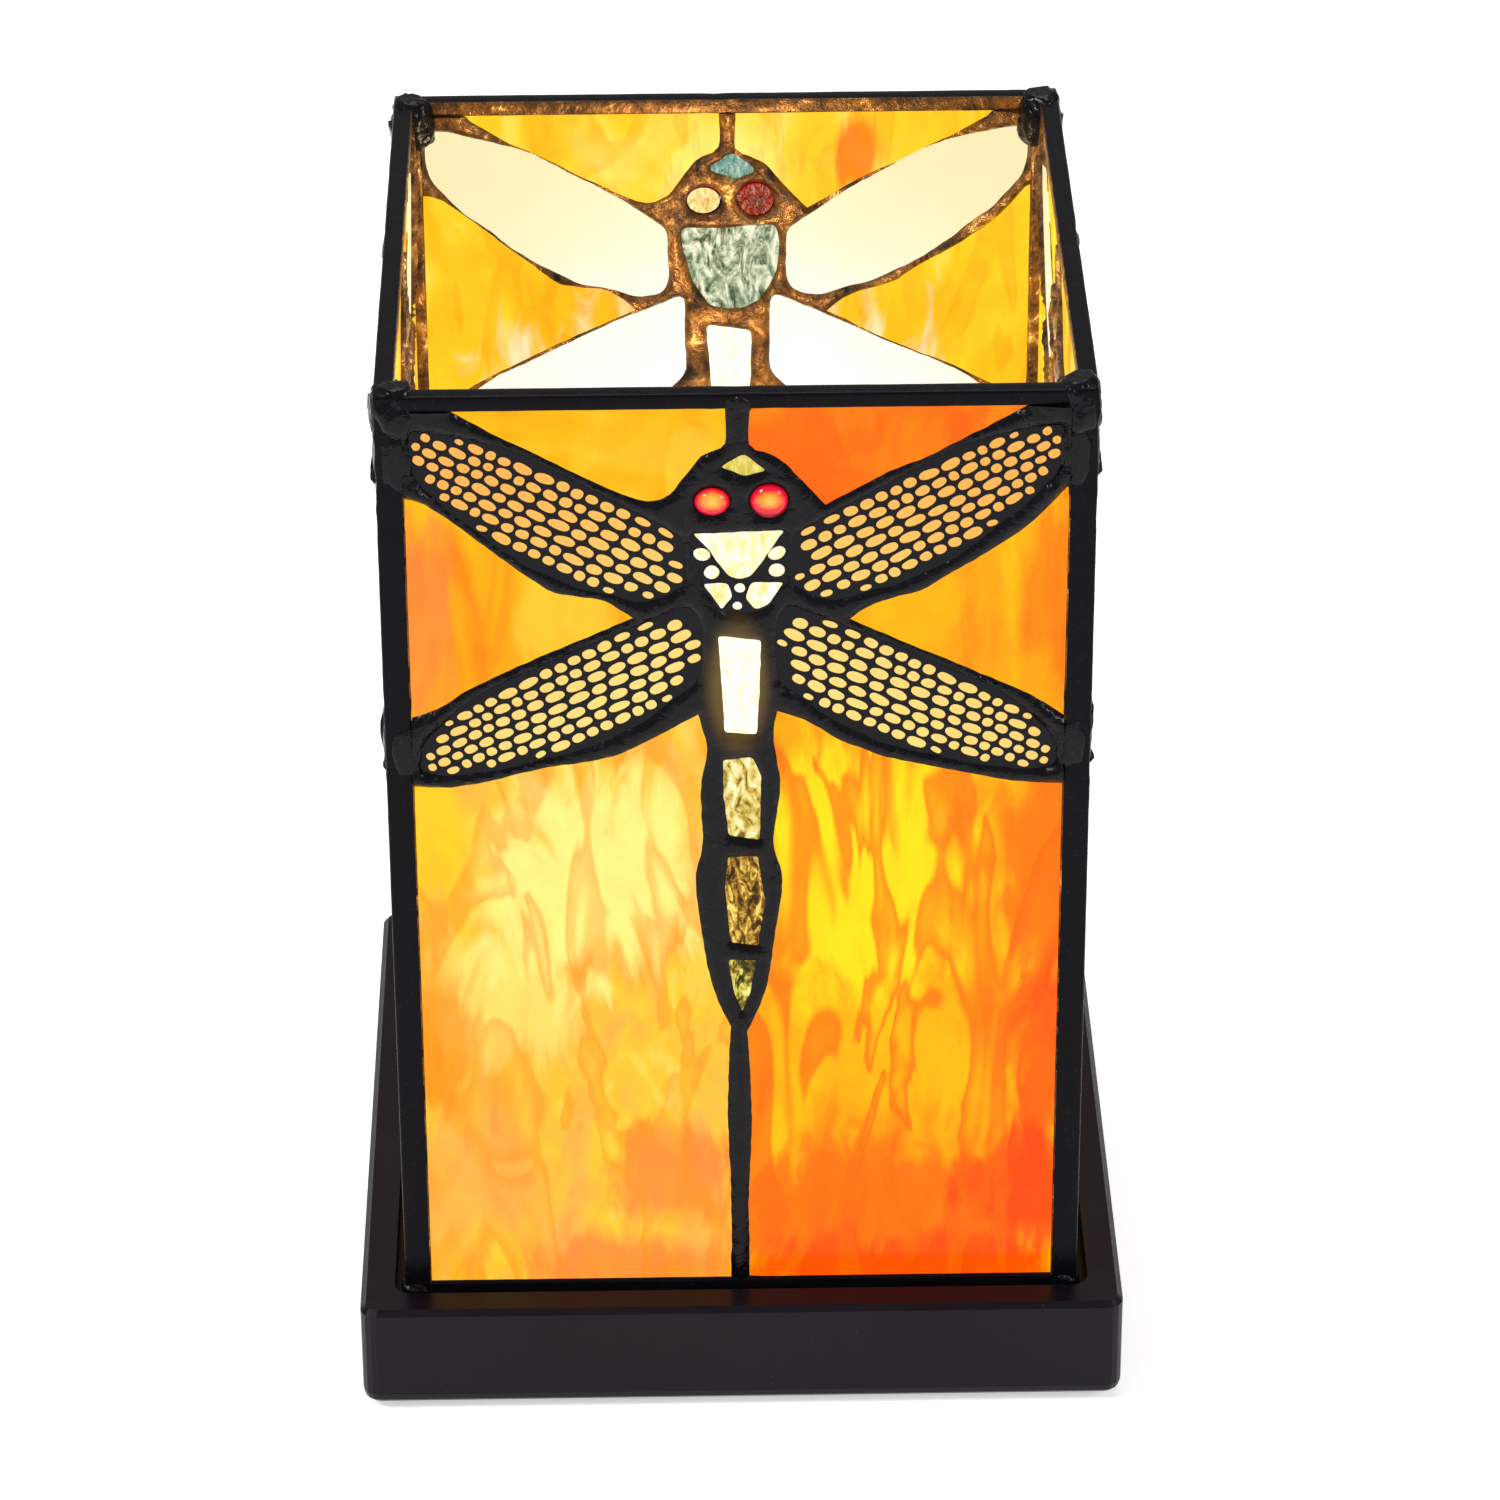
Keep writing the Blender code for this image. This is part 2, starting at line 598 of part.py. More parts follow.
def make_base():
    block = rounded_block(
        "base_tray", BASE_SIDE, PAD_HEIGHT, BASE_HEIGHT, BASE_CORNER, BASE_TOP_EDGE, BASE_FOOT_EDGE
    )
    tray = add_object("base_tray", block, "base_wood")
    recess = rounded_block("recess", RECESS_SIDE, RECESS_FLOOR, BASE_HEIGHT + RECESS_DEPTH, BASE_CORNER)
    cut(tray, add_object("recess", recess))
    pocket = cylinder_mesh("wiring_pocket", POCKET_RADIUS, PAD_HEIGHT - CUT_PAST, POCKET_TOP, 40)
    cut(tray, add_object("wiring_pocket", pocket))
    low = POCKET_TOP - CUT_PAST
    hole = cylinder_mesh("nipple_hole", NIPPLE_RADIUS + GAP, low, RECESS_FLOOR + CUT_PAST, 24)
    cut(tray, add_object("nipple_hole", hole))
    rear = Matrix.Translation((0, 0, CORD_BORE_HEIGHT)) @ Matrix.Rotation(math.radians(-90), 4, "X")
    back = BASE_SIDE / 2
    bore = cylinder_mesh("cord_bore", CORD_BORE_RADIUS, POCKET_RADIUS - CUT_PAST, back + CUT_PAST, 24, rear)
    cut(tray, add_object("cord_bore", bore))
    front = back - BUSHING_FLANGE - GAP
    seat = cylinder_mesh("bushing_seat", BUSHING_FLANGE_RADIUS + GAP, front, back + CUT_PAST, 24, rear)
    cut(tray, add_object("bushing_seat", seat))
    smooth(tray)

    tube = CORD_BORE_RADIUS - GAP
    inside = tube - BUSHING_WALL
    profile = [
        (BUSHING_FLANGE_RADIUS, 0), (BUSHING_FLANGE_RADIUS, -BUSHING_FLANGE), (tube, -BUSHING_FLANGE),
        (tube, -BUSHING_LENGTH), (inside, -BUSHING_LENGTH), (inside, 0),
    ]
    bushing = turned("cord_bushing", profile, "bushing", steps=24, closed=True)
    bushing.location = (0, back, CORD_BORE_HEIGHT)
    bushing.rotation_euler = (math.radians(-90), 0, 0)

    place = BASE_SIDE / 2 - PAD_INSET
    for hand, x in SIDES.items():
        for row, y in (("front", -1), ("back", 1)):
            name = f"base_pad_{row}_{hand}"
            pad = add_object(name, cylinder_mesh(name, PAD_RADIUS, 0, PAD_HEIGHT - GAP, 20), "pad")
            pad.location = (x * place, y * place, 0)


# ---------------------------------------------------------------- socket and bulb


def threaded(name, look, low, high, radius, depth, inner, outer, parent=None):
    """A tube with a sinusoidal right-hand thread on its inner or outer wall, from z = low to high.

    radius is the thread's mean radius. Give inner for a plain bore and outer for a plain outside.
    """
    sides = 18
    rows = round((high - low) / THREAD_PITCH * 4)

    def wall(angle, z):
        fade = min(1.0, (z - low) / THREAD_PITCH, (high - z) / THREAD_PITCH)
        return radius + depth * fade * math.cos(2 * math.pi * z / THREAD_PITCH - angle)

    def build(bm):
        loops = []
        for i in range(rows + 1):
            z = low + (high - low) * i / rows
            level = []
            for k in range(sides):
                angle = 2 * math.pi * k / sides
                r = wall(angle, z)
                level.append(bm.verts.new((r * math.cos(angle), r * math.sin(angle), z)))
            loops.append(level)
        plain = inner if inner else outer
        for z in (high, low):
            level = []
            for k in range(sides):
                angle = 2 * math.pi * k / sides
                level.append(bm.verts.new((plain * math.cos(angle), plain * math.sin(angle), z)))
            loops.append(level)
        for i, level in enumerate(loops):
            after = loops[(i + 1) % len(loops)]
            for k in range(sides):
                bm.faces.new((level[k], level[(k + 1) % sides], after[(k + 1) % sides], after[k]))

    obj = add_object(name, mesh_from(name, build), look, parent)
    smooth(obj, 60)
    return obj


def make_socket():
    web = CONTACT_TOP - CONTACT_HEAD - GAP
    floor = SHADE_FLOOR + WASHER_HEIGHT + 2 * GAP
    neck = floor + HOUSING_NECK
    hole = NIPPLE_RADIUS + GAP
    rivet_hole = RIVET_RADIUS + GAP
    under = web - HOUSING_WEB
    profile = [
        (SOCKET_RADIUS, SOCKET_TOP), (SOCKET_RADIUS, floor), (hole, floor), (hole, neck), (SOCKET_BORE, neck),
        (SOCKET_BORE, under), (rivet_hole, under), (rivet_hole, web), (SOCKET_BORE, web),
        (SOCKET_BORE, SOCKET_TOP),
    ]
    turned("socket_housing", profile, "phenolic", steps=24, closed=True)
    head = web + GAP
    tail = web - CONTACT_TAIL
    profile = [
        (0, CONTACT_TOP), (CONTACT_RADIUS, CONTACT_TOP), (CONTACT_RADIUS, head), (RIVET_RADIUS, head),
        (RIVET_RADIUS, tail), (0, tail),
    ]
    turned("socket_contact", profile, "brass", steps=16)
    threaded(
        "socket_shell", "brass", CONTACT_TOP + SHELL_FOOT, SOCKET_TOP - SHELL_DROP, SHELL_THREAD_RADIUS,
        THREAD_DEPTH, None, SOCKET_BORE - GAP,
    )
    foot = PAD_HEIGHT + NIPPLE_FOOT
    top = neck + CUT_PAST
    tube = [(NIPPLE_RADIUS, top), (NIPPLE_RADIUS, foot), (NIPPLE_BORE, foot), (NIPPLE_BORE, top)]
    turned("socket_nipple", tube, "brass", steps=24, closed=True)
    high = SHADE_FLOOR + WASHER_HEIGHT + GAP
    washer = [(WASHER_RADIUS, high), (WASHER_RADIUS, SHADE_FLOOR), (hole, SHADE_FLOOR), (hole, high)]
    turned("nipple_washer", washer, "brass", steps=24, closed=True)
    high = POCKET_TOP - GAP
    low = high - NUT_HEIGHT
    nut = add_object("nipple_nut", cylinder_mesh("nipple_nut", NUT_RADIUS, low, high, 6), "steel")
    bore = cylinder_mesh("nut_bore", hole, low - CUT_PAST, high + CUT_PAST, 24)
    cut(nut, add_object("nut_bore", bore))


def make_bulb():
    collar = SOCKET_TOP - CAP_DROP
    cap_bore = BULB_THREAD_RADIUS - THREAD_DEPTH - CAP_WALL
    tip = CONTACT_TOP + GAP
    button = cap_bore - GAP
    # The end contact: radius as a share of its own, and height above its tip in millimetres.
    shape = [(0.0, 4.4), (1.0, 4.4), (0.9, 2.6), (0.5, 1.4), (0.45, 0.4), (0.25, 0.0), (0.0, 0.0)]
    contact_top = tip + shape[0][1] * MM
    carrier = add_empty("bulb_rise")
    profile = [(share * button, tip + rise * MM) for share, rise in shape]
    turned("bulb_contact", profile, "steel", carrier, steps=20)
    turning = add_empty("bulb_turn", parent=carrier)
    threaded(
        "bulb_cap", "brass", CONTACT_TOP + CAP_FOOT, collar, BULB_THREAD_RADIUS, THREAD_DEPTH,
        cap_bore, None, turning,
    )

    neck = collar + GAP
    length = BULB_TOP - neck
    outer = [(BULB_THREAD_RADIUS, neck), (BULB_THREAD_RADIUS, neck + BULB_NECK * length)]
    outer += [(r * BULB_RADIUS, neck + z * length) for r, z in BULB_PROFILE]
    inner = [(max(r - BULB_WALL, 0), z) for r, z in outer[:-1]] + [(0, BULB_TOP - 2 * BULB_WALL)]
    turned("bulb_glass", outer[::-1] + inner, "bulb_glass", turning, steps=20)

    top = neck + STEM_TOP * length
    low = neck + STEM_FOOT * length
    foot = contact_top + CAP_FILL
    flare = cap_bore - STEM_PLAY
    stem = [
        (0, top), (STEM_RADIUS, top - STEM_RADIUS), (STEM_RADIUS, low), (flare, neck + GAP), (flare, foot), (0, foot),
    ]
    stem = turned("bulb_filament", stem, "filament", turning, steps=16)
    wire = bpy.data.curves.new("filament_wire", "CURVE")
    wire.dimensions = "3D"
    wire.bevel_depth = WIRE_RADIUS
    wire.bevel_resolution = 1
    wire.use_fill_caps = True
    path = [(r * BULB_RADIUS, neck + z * length) for r, z in FILAMENT_PATH]
    path += [(-x, z) for x, z in path[-2::-1]]
    spline = wire.splines.new("POLY")
    spline.points.add(len(path) - 1)
    for point, (x, z) in zip(spline.points, path):
        point.co = (x, WIRE_RADIUS / 2, z, 1)
    mesh = mesh_from_curve("filament_wire", wire)
    join(stem, add_object("filament_wire", mesh, None, turning))


clear_scene()
lamp = new_collection("stained_glass_table_lamp")
cutters = new_collection("cutters", hidden=True)
shade = add_empty("shade_lift")
make_base()
make_socket()
make_bulb()
make_shade()
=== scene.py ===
"""The looks of the stained glass table lamp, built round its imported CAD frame.

Metres, in the CAD's own frame. Each panel is drawn flat in its own space: x to the right, y up from
the foot of its opening and z out of the lamp. The pattern's points are in millimetres.
"""

import math
import random

import bmesh
import bpy
import numpy as np
from mathutils import Matrix, Vector, noise
from mathutils.geometry import delaunay_2d_cdt
from mathutils.kdtree import KDTree


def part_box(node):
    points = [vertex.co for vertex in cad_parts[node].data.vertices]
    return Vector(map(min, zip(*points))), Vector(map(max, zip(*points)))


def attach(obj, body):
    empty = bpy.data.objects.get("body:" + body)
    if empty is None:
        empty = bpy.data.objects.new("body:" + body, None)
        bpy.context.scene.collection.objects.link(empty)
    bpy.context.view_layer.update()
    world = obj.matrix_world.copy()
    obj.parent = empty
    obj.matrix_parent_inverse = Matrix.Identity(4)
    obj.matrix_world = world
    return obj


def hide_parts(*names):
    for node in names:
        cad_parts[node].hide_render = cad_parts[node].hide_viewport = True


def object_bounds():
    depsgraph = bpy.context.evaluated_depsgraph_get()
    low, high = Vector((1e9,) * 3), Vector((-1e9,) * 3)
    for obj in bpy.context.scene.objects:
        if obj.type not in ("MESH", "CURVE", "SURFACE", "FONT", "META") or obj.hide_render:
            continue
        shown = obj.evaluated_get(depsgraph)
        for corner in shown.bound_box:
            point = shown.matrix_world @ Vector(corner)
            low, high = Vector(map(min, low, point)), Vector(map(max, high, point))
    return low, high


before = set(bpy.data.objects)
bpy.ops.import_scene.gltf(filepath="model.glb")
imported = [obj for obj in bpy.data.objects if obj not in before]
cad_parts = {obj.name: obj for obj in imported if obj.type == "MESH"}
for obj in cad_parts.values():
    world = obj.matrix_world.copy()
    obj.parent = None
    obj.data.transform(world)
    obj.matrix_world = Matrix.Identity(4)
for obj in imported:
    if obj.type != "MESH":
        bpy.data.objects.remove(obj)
cad_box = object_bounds()

noise.seed_set(1)  # without it noise_vector starts from the clock, and each run differs

MM = 0.001
FOIL_INSET = 0.5  # mm by which the lines inside are narrower at each edge
BEAD_EDGE = 0.15  # mm by which solder stands over the glass at its very edge

# ---------------------------------------------------------------- places taken from the frame

POST_LOW, POST_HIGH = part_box("corner_post_front_right")
RIM_LOW, RIM_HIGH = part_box("rim_channel_front")
FOOT_LOW, FOOT_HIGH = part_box("foot_channel_front")
TRAY_LOW, TRAY_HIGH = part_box("base_tray")
BULB_LOW, BULB_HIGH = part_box("bulb_glass")
GLASS_LOW, GLASS_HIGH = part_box("back_glass")

HALF = POST_HIGH[0]  # from the axis to the shade's outer face
OPENING_HALF = POST_LOW[0]
OPENING_FLOOR = FOOT_HIGH[2]
OPENING_HEIGHT = RIM_LOW[2] - FOOT_HIGH[2]
GLASS_BACK = GLASS_LOW[1] - HALF  # inner and outer face of the glass, out from the shade's outer face
GLASS_FACE = GLASS_HIGH[1] - HALF
CHANNEL_DEPTH = RIM_HIGH[1] - RIM_LOW[1]
MID_DEPTH = (GLASS_BACK + GLASS_FACE) / 2
GLOW_HEIGHT = 109 * MM  # the middle of the bulb's light above the table
GLOW = Vector((0, GLOW_HEIGHT - OPENING_FLOOR, -HALF))  # the same in a panel's space

PANELS = {"front": 0, "right": 90, "back": 180, "left": 270}
SIDES = {"left": -1, "right": 1}

# ---------------------------------------------------------------- the pattern, in millimetres
# Distances from the middle line, and heights above the foot of the opening. The hand-cut left and
# right halves differ a little.

EDGES = {
    "right": {
        "head": [(2.2, 174.5), (2.0, 168.6), (4.4, 167.2), (7.2, 165.8), (10.0, 162.8), (12.6, 159.6), (14.7, 157.2)],
        "upper_top": [(14.7, 157.2), (24.9, 163.0), (31.6, 165.9), (38.1, 169.6), (48.4, 174.5)],
        "upper_bottom": [
            (55.3, 160.4), (49.4, 153.7), (42.9, 148.7), (34.0, 142.8), (30.9, 140.8), (23.0, 138.3), (18.9, 135.4),
        ],
        "lower_top": [(18.9, 135.4), (29.7, 130.0), (38.8, 125.7), (47.7, 121.2), (52.0, 118.6), (55.3, 116.2)],
        "lower_bottom": [
            (55.3, 102.8), (49.4, 103.2), (43.6, 104.0), (34.5, 106.2), (25.4, 108.4), (21.0, 110.3), (17.3, 111.9),
            (11.9, 115.6), (6.7, 117.7),
        ],
        "abdomen": [
            (6.7, 117.7), (6.0, 113.0), (6.4, 108.6), (7.1, 102.3), (6.0, 91.5), (7.4, 84.0), (5.9, 71.0), (4.5, 61.5),
            (1.3, 53.2),
        ],
        "tail": [(1.3, 53.2), (2.0, 36.3), (1.4, 17.1), (1.5, 0.0)],
    },
    "left": {
        "head": [(1.9, 174.5), (2.0, 168.9), (3.6, 167.6), (5.8, 166.5), (8.8, 162.6), (11.1, 159.4), (13.2, 158.4)],
        "upper_top": [(13.2, 158.4), (16.6, 158.6), (25.5, 162.8), (36.9, 169.2), (47.4, 174.5)],
        "upper_bottom": [
            (55.3, 159.2), (53.6, 158.8), (50.0, 156.8), (40.8, 148.9), (32.0, 141.8), (27.6, 140.5), (22.3, 139.4),
            (17.5, 136.0),
        ],
        "lower_top": [(17.5, 136.0), (25.9, 132.2), (35.1, 127.9), (45.5, 122.5), (51.0, 118.8), (55.3, 117.2)],
        "lower_bottom": [
            (55.3, 103.7), (49.0, 103.5), (41.1, 104.9), (32.0, 107.3), (22.9, 108.7), (16.9, 111.3), (6.7, 117.2),
        ],
        "abdomen": [
            (6.7, 117.2), (5.5, 112.3), (5.4, 108.9), (6.5, 102.6), (6.2, 91.7), (7.5, 84.3), (6.3, 72.2), (4.5, 61.7),
            (1.6, 54.2),
        ],
        "tail": [(1.6, 54.2), (2.2, 36.3), (1.7, 17.1), (1.8, 0.0)],
    },
}
HEAD_OPENING = [(-2.9, 164.5), (1.0, 166.9), (4.9, 163.8), (1.3, 162.7)]
THORAX_OPENING = [
    (-7.9, 152.0), (8.4, 152.5), (8.9, 148.0), (8.3, 143.3), (5.4, 138.0), (2.7, 136.9), (-0.3, 136.6), (-3.2, 137.2),
    (-5.9, 142.0), (-6.7, 146.0), (-7.6, 149.0),
]
ABDOMEN_OPENINGS = [
    [(-3.3, 132.4), (4.0, 131.4), (3.2, 113.1), (-2.2, 113.6)],
    [(-2.7, 108.2), (2.3, 108.7), (3.8, 104.9), (3.6, 92.1), (-1.6, 93.2), (-2.6, 101.0)],
    [(-1.8, 88.8), (3.3, 88.9), (4.4, 79.6), (3.3, 70.8), (-1.5, 71.5), (-2.5, 83.0)],
    [(-2.0, 68.0), (2.9, 67.9), (1.9, 61.5), (0.3, 57.2), (-1.2, 62.0)],
]
# Eyes: centre, half width and half height of the opening that the solder leaves.
EYES = {"left": ((-4.2, 158.1), 2.8, 2.4), "right": ((5.4, 158.1), 3.0, 3.0)}

# The holes of the wing filigree lie in rows along the wing that draw together towards its tip. Distances
# run along the wing from its root, and across it towards its leading edge.
HOLE_ROWS = 7
FIRST_ROW = 4.5  # across the wing to the row by the leading edge, at the root
ROW_STEP = 2.4
HOLE_LENGTHS = (2.2, 4.6)  # at the root
HOLE_WIDTHS = (0.74, 0.86)  # as shares of the step between rows
HOLE_WEB = 0.5  # brass between two holes of a row
WING_LENGTH = 54.0
FIT_SIZES = (1.0, 0.82, 0.66)  # a hole that meets the edge of its sheet is tried smaller, then left out
# The filigree's outline, along and across the wing.
WING_SHEET = [
    (-2.6, 1.0), (-2.0, 4.6), (3.6, 5.0), (14.4, 5.7), (25.0, 6.1), (35.4, 6.4), (39.0, 6.0), (43.0, 5.2),
    (46.0, 4.1), (49.0, 3.2), (52.8, 1.4), (53.6, -1.8), (51.0, -4.2), (47.4, -6.1), (44.0, -7.2), (39.6, -8.9),
    (34.0, -9.8), (31.0, -10.8), (24.0, -12.0), (14.0, -11.7), (9.5, -10.4), (4.0, -9.6), (0.6, -6.6), (-1.4, -2.6),
]
# Each wing's filigree: where its root lies from the middle line, how the wing slopes, and where its glass
# starts outside and inside the lamp.
WING_FRAMES = {
    ("upper", "right"): ((8.5, 145.5), 28, 9.3, 11.2),
    ("upper", "left"): ((8.5, 145.5), 28, 8.7, 11.2),
    ("lower", "right"): ((8.0, 133.5), -28, 6.5, 8.2),
    ("lower", "left"): ((8.0, 133.5), -28, 6.0, 8.2),
}
WING_TIP = 54.2
PATTERN_DROP = 1.0  # how much lower the whole pattern lies than the outlines above, away from the frame
THORAX_WINDOWS = [
    [(-7.4, 152.2), (7.9, 152.5), (6.2, 149.9), (3.9, 146.2), (2.4, 143.9), (0.3, 143.2), (-1.7, 143.9), (-4.4, 148.4)],
    [(-5.8, 142.5), (-1.7, 142.6), (-0.9, 139.9), (-2.7, 137.3)],
    [(2.2, 142.7), (7.8, 142.6), (5.2, 138.4), (2.9, 137.4), (1.2, 139.7)],
]
# Small round and oval windows of the thorax filigree: centre, half width, half height, turn.
THORAX_OVALS = [
    ((-5.9, 148.0), 1.5, 1.2, -30), ((6.6, 148.1), 1.6, 1.2, 30), ((-4.3, 144.6), 1.25, 1.3, 0),
    ((6.6, 144.9), 1.35, 1.3, 0), ((0.3, 141.6), 0.95, 0.95, 0), ((-0.1, 138.2), 0.8, 0.8, 0),
]


# ---------------------------------------------------------------- colour and node helpers


def srgb(red, green, blue):
    """A colour given as it looks on a screen, 0 to 255, as linear RGBA."""
    def linear(value):
        value /= 255
        return value / 12.92 if value <= 0.04045 else ((value + 0.055) / 1.055) ** 2.4
    return (linear(red), linear(green), linear(blue), 1.0)


class Nodes:
    """A small helper that adds nodes to one material and links them."""

    def __init__(self, name):
        self.material = bpy.data.materials.new(name)
        self.material.use_nodes = True
        self.tree = self.material.node_tree
        self.tree.nodes.clear()
        self.output = self.add("ShaderNodeOutputMaterial")

    def add(self, kind, inputs=None, **settings):
        node = self.tree.nodes.new(kind)
        for key, value in settings.items():
            setattr(node, key, value)
        for key, value in (inputs or {}).items():
            self.put(node.inputs[key], value)
        return node

    def put(self, socket, value):
        if isinstance(value, bpy.types.NodeSocket):
            self.tree.links.new(value, socket)
        else:
            socket.default_value = value

    def math(self, operation, first, second=0.0, clamp=False):
        node = self.add("ShaderNodeMath", operation=operation, use_clamp=clamp)
        self.put(node.inputs[0], first)
        self.put(node.inputs[1], second)
        return node.outputs[0]

    def mix(self, factor, first, second, blend="MIX"):
        node = self.add("ShaderNodeMix", data_type="RGBA", blend_type=blend)
        self.put(node.inputs["Factor"], factor)
        self.put(node.inputs["A"], first)
        self.put(node.inputs["B"], second)
        return node.outputs["Result"]

    def coordinates(self, scale=(1, 1, 1), turn=0.0, shift=(0, 0, 0)):
        """Object space in millimetres, divided by scale."""
        source = self.add("ShaderNodeTexCoord").outputs["Object"]
        size = [1000 / s for s in scale]
        mapping = self.add("ShaderNodeMapping", {"Vector": source, "Scale": size, "Location": shift})
        mapping.inputs["Rotation"].default_value = (0, 0, math.radians(turn))
        return mapping.outputs["Vector"]

    def noise(self, vector, scale=1.0, detail=3.0, roughness=0.5, distortion=0.0):
        node = self.add("ShaderNodeTexNoise", {
            "Vector": vector, "Scale": scale, "Detail": detail, "Roughness": roughness, "Distortion": distortion})
        return node.outputs["Fac"]

    def ramp(self, factor, stops):
        node = self.add("ShaderNodeValToRGB", {"Fac": factor})
        elements = node.color_ramp.elements
        while len(elements) < len(stops):
            elements.new(0.5)
        for element, (place, colour) in zip(elements, stops):
            element.position = place
            element.color = colour
        return node.outputs["Color"]

    def span(self, value, low, high, to_low=0.0, to_high=1.0, smooth=True):
        node = self.add("ShaderNodeMapRange", {
            "Value": value, "From Min": low, "From Max": high, "To Min": to_low, "To Max": to_high})
        node.interpolation_type = "SMOOTHSTEP" if smooth else "LINEAR"
        return node.outputs["Result"]

    def distance_to(self, point, squeeze=(1, 1, 1)):
        """Distance in millimetres from a point of object space, with each axis divided by squeeze."""
        source = self.add("ShaderNodeTexCoord").outputs["Object"]
        shift = [-1000 * p / s for p, s in zip(point, squeeze)]
        mapping = self.add("ShaderNodeMapping", {
            "Vector": source, "Scale": [1000 / s for s in squeeze], "Location": shift})
        length = self.add("ShaderNodeVectorMath", {0: mapping.outputs["Vector"]}, operation="LENGTH")
        return length.outputs["Value"]

    def axis(self, index):
        """One object-space coordinate, in millimetres."""
        source = self.add("ShaderNodeTexCoord").outputs["Object"]
        parts = self.add("ShaderNodeSeparateXYZ", {0: source})
        return self.math("MULTIPLY", parts.outputs[index], 1000.0)

    def bump(self, height, strength, distance):
        node = self.add("ShaderNodeBump", {"Height": height, "Strength": strength, "Distance": distance})
        return node.outputs["Normal"]

    def finish(self, shader):
        self.tree.links.new(shader, self.output.inputs["Surface"])
        return self.material


# ---------------------------------------------------------------- materials


def art_glass(name, stops, lean=(0.0, 0.0), streak=(9, 34), turn=0.0, seed=0.0, veins=None, patches=(), spread=0.30):
    """Streaky opalescent glass lit from behind.

    stops colour a value from 0 to 1 that streaks make, and lean adds to it along x and y, per panel width.
    Each patch is a cloud of another colour: its middle, its two radii, the colour and how much of it shows.
    """
    n = Nodes(name)
    where = n.coordinates((streak[0], streak[1], 20), turn, (seed, seed * 1.7, 0))
    warp = n.noise(n.coordinates((30, 40, 30), 0, (seed * 3, 5, 0)), 1.0, 2.0)
    streaks = n.noise(where, 1.0, 3.0, 0.5, 1.4)
    clouds = n.noise(n.coordinates((24, 26, 20), turn, (seed * 2, 9, 0)), 1.0, 3.0, 0.5, 0.6)
    value = n.math("ADD", n.math("MULTIPLY", streaks, 0.55), n.math("MULTIPLY", clouds, 0.45))
    value = n.math("ADD", n.math("MULTIPLY", n.math("SUBTRACT", value, 0.5), 1 / (2 * spread)), 0.5)
    value = n.math("ADD", value, n.math("MULTIPLY", n.math("SUBTRACT", warp, 0.5), 0.35))
    value = n.math("ADD", value, n.math("MULTIPLY", n.axis(0), lean[0] / 110))
    middle = n.math("SUBTRACT", n.axis(1), 87.0)
    value = n.math("ADD", value, n.math("MULTIPLY", middle, lean[1] / 175), clamp=True)
    colour = n.ramp(value, stops)
    edge = n.noise(n.coordinates((9, 26, 12), turn, (seed * 5, 2, 0)), 1.0, 4.0, 0.55, 1.6)
    for (x, y), radii, tint, amount in patches:
        away = n.distance_to(Vector((x, y, 0)) * MM, (*radii, 40))
        away = n.math("ADD", away, n.math("MULTIPLY", n.math("SUBTRACT", edge, 0.5), 1.7))
        colour = n.mix(n.span(away, 0.55, 1.15, amount, 0.0), colour, tint)
    if veins:
        tint, amount = veins
        lines = n.noise(n.coordinates((15, 52, 16), turn + 4, (seed, 3, 0)), 1.0, 2.0, 0.45, 1.5)
        flame = n.span(lines, 0.50, 0.55, 0.0, 1.0)
        tail = n.span(lines, 0.54, 0.72, 1.0, 0.0)
        colour = n.mix(n.math("MULTIPLY", n.math("MULTIPLY", flame, tail), amount), colour, tint)
    ripple = n.noise(n.coordinates((5, 11, 6), turn, (seed, 0, 0)), 1.0, 2.0, 0.45, 0.8)
    shade = n.span(ripple, 0.35, 0.65, 0.95, 1.03)
    glass = n.add("ShaderNodeBsdfPrincipled", {
        "Base Color": n.mix(1.0, colour, srgb(60, 50, 34), "MULTIPLY"), "Roughness": 0.16, "Emission Color": colour,
        "Emission Strength": shade, "Specular IOR Level": 0.10, "Normal": n.bump(ripple, 0.25, 0.0004)})
    return n.finish(glass.outputs[0])


def wing_glass(name, inside):
    """Smooth ivory glass: nearly white from inside, peach where it glows through the filigree. Both looks are painted
    paler nearer the bulb.
    """
    n = Nodes(name)
    # painted light: the glass is paler the nearer it lies to the bulb
    near = n.span(n.distance_to(GLOW, (1.0, 1.0, 1.0)), 66, 108, 1.0, 0.0)
    cloud = n.noise(n.coordinates((12, 12, 12), 0, (2, 4, 0)), 1.0, 2.0)
    value = n.math("ADD", near, n.math("MULTIPLY", n.math("SUBTRACT", cloud, 0.5), 0.25), clamp=True)
    if inside:
        stops = [(0.0, srgb(252, 234, 184)), (0.5, srgb(255, 244, 208)), (1.0, srgb(255, 255, 250))]
    else:
        stops = [(0.0, srgb(252, 180, 84)), (0.4, srgb(254, 194, 96)), (1.0, srgb(255, 222, 128))]
    colour = n.ramp(value, stops)
    glass = n.add("ShaderNodeBsdfPrincipled", {
        "Base Color": n.mix(1.0, colour, srgb(70, 60, 50), "MULTIPLY"), "Roughness": 0.22, "Emission Color": colour,
        "Emission Strength": 1.0, "Specular IOR Level": 0.15,
        "Normal": n.bump(n.noise(n.coordinates((9, 9, 9)), 1.0, 2.0), 0.1, 0.0004)})
    return n.finish(glass.outputs[0])


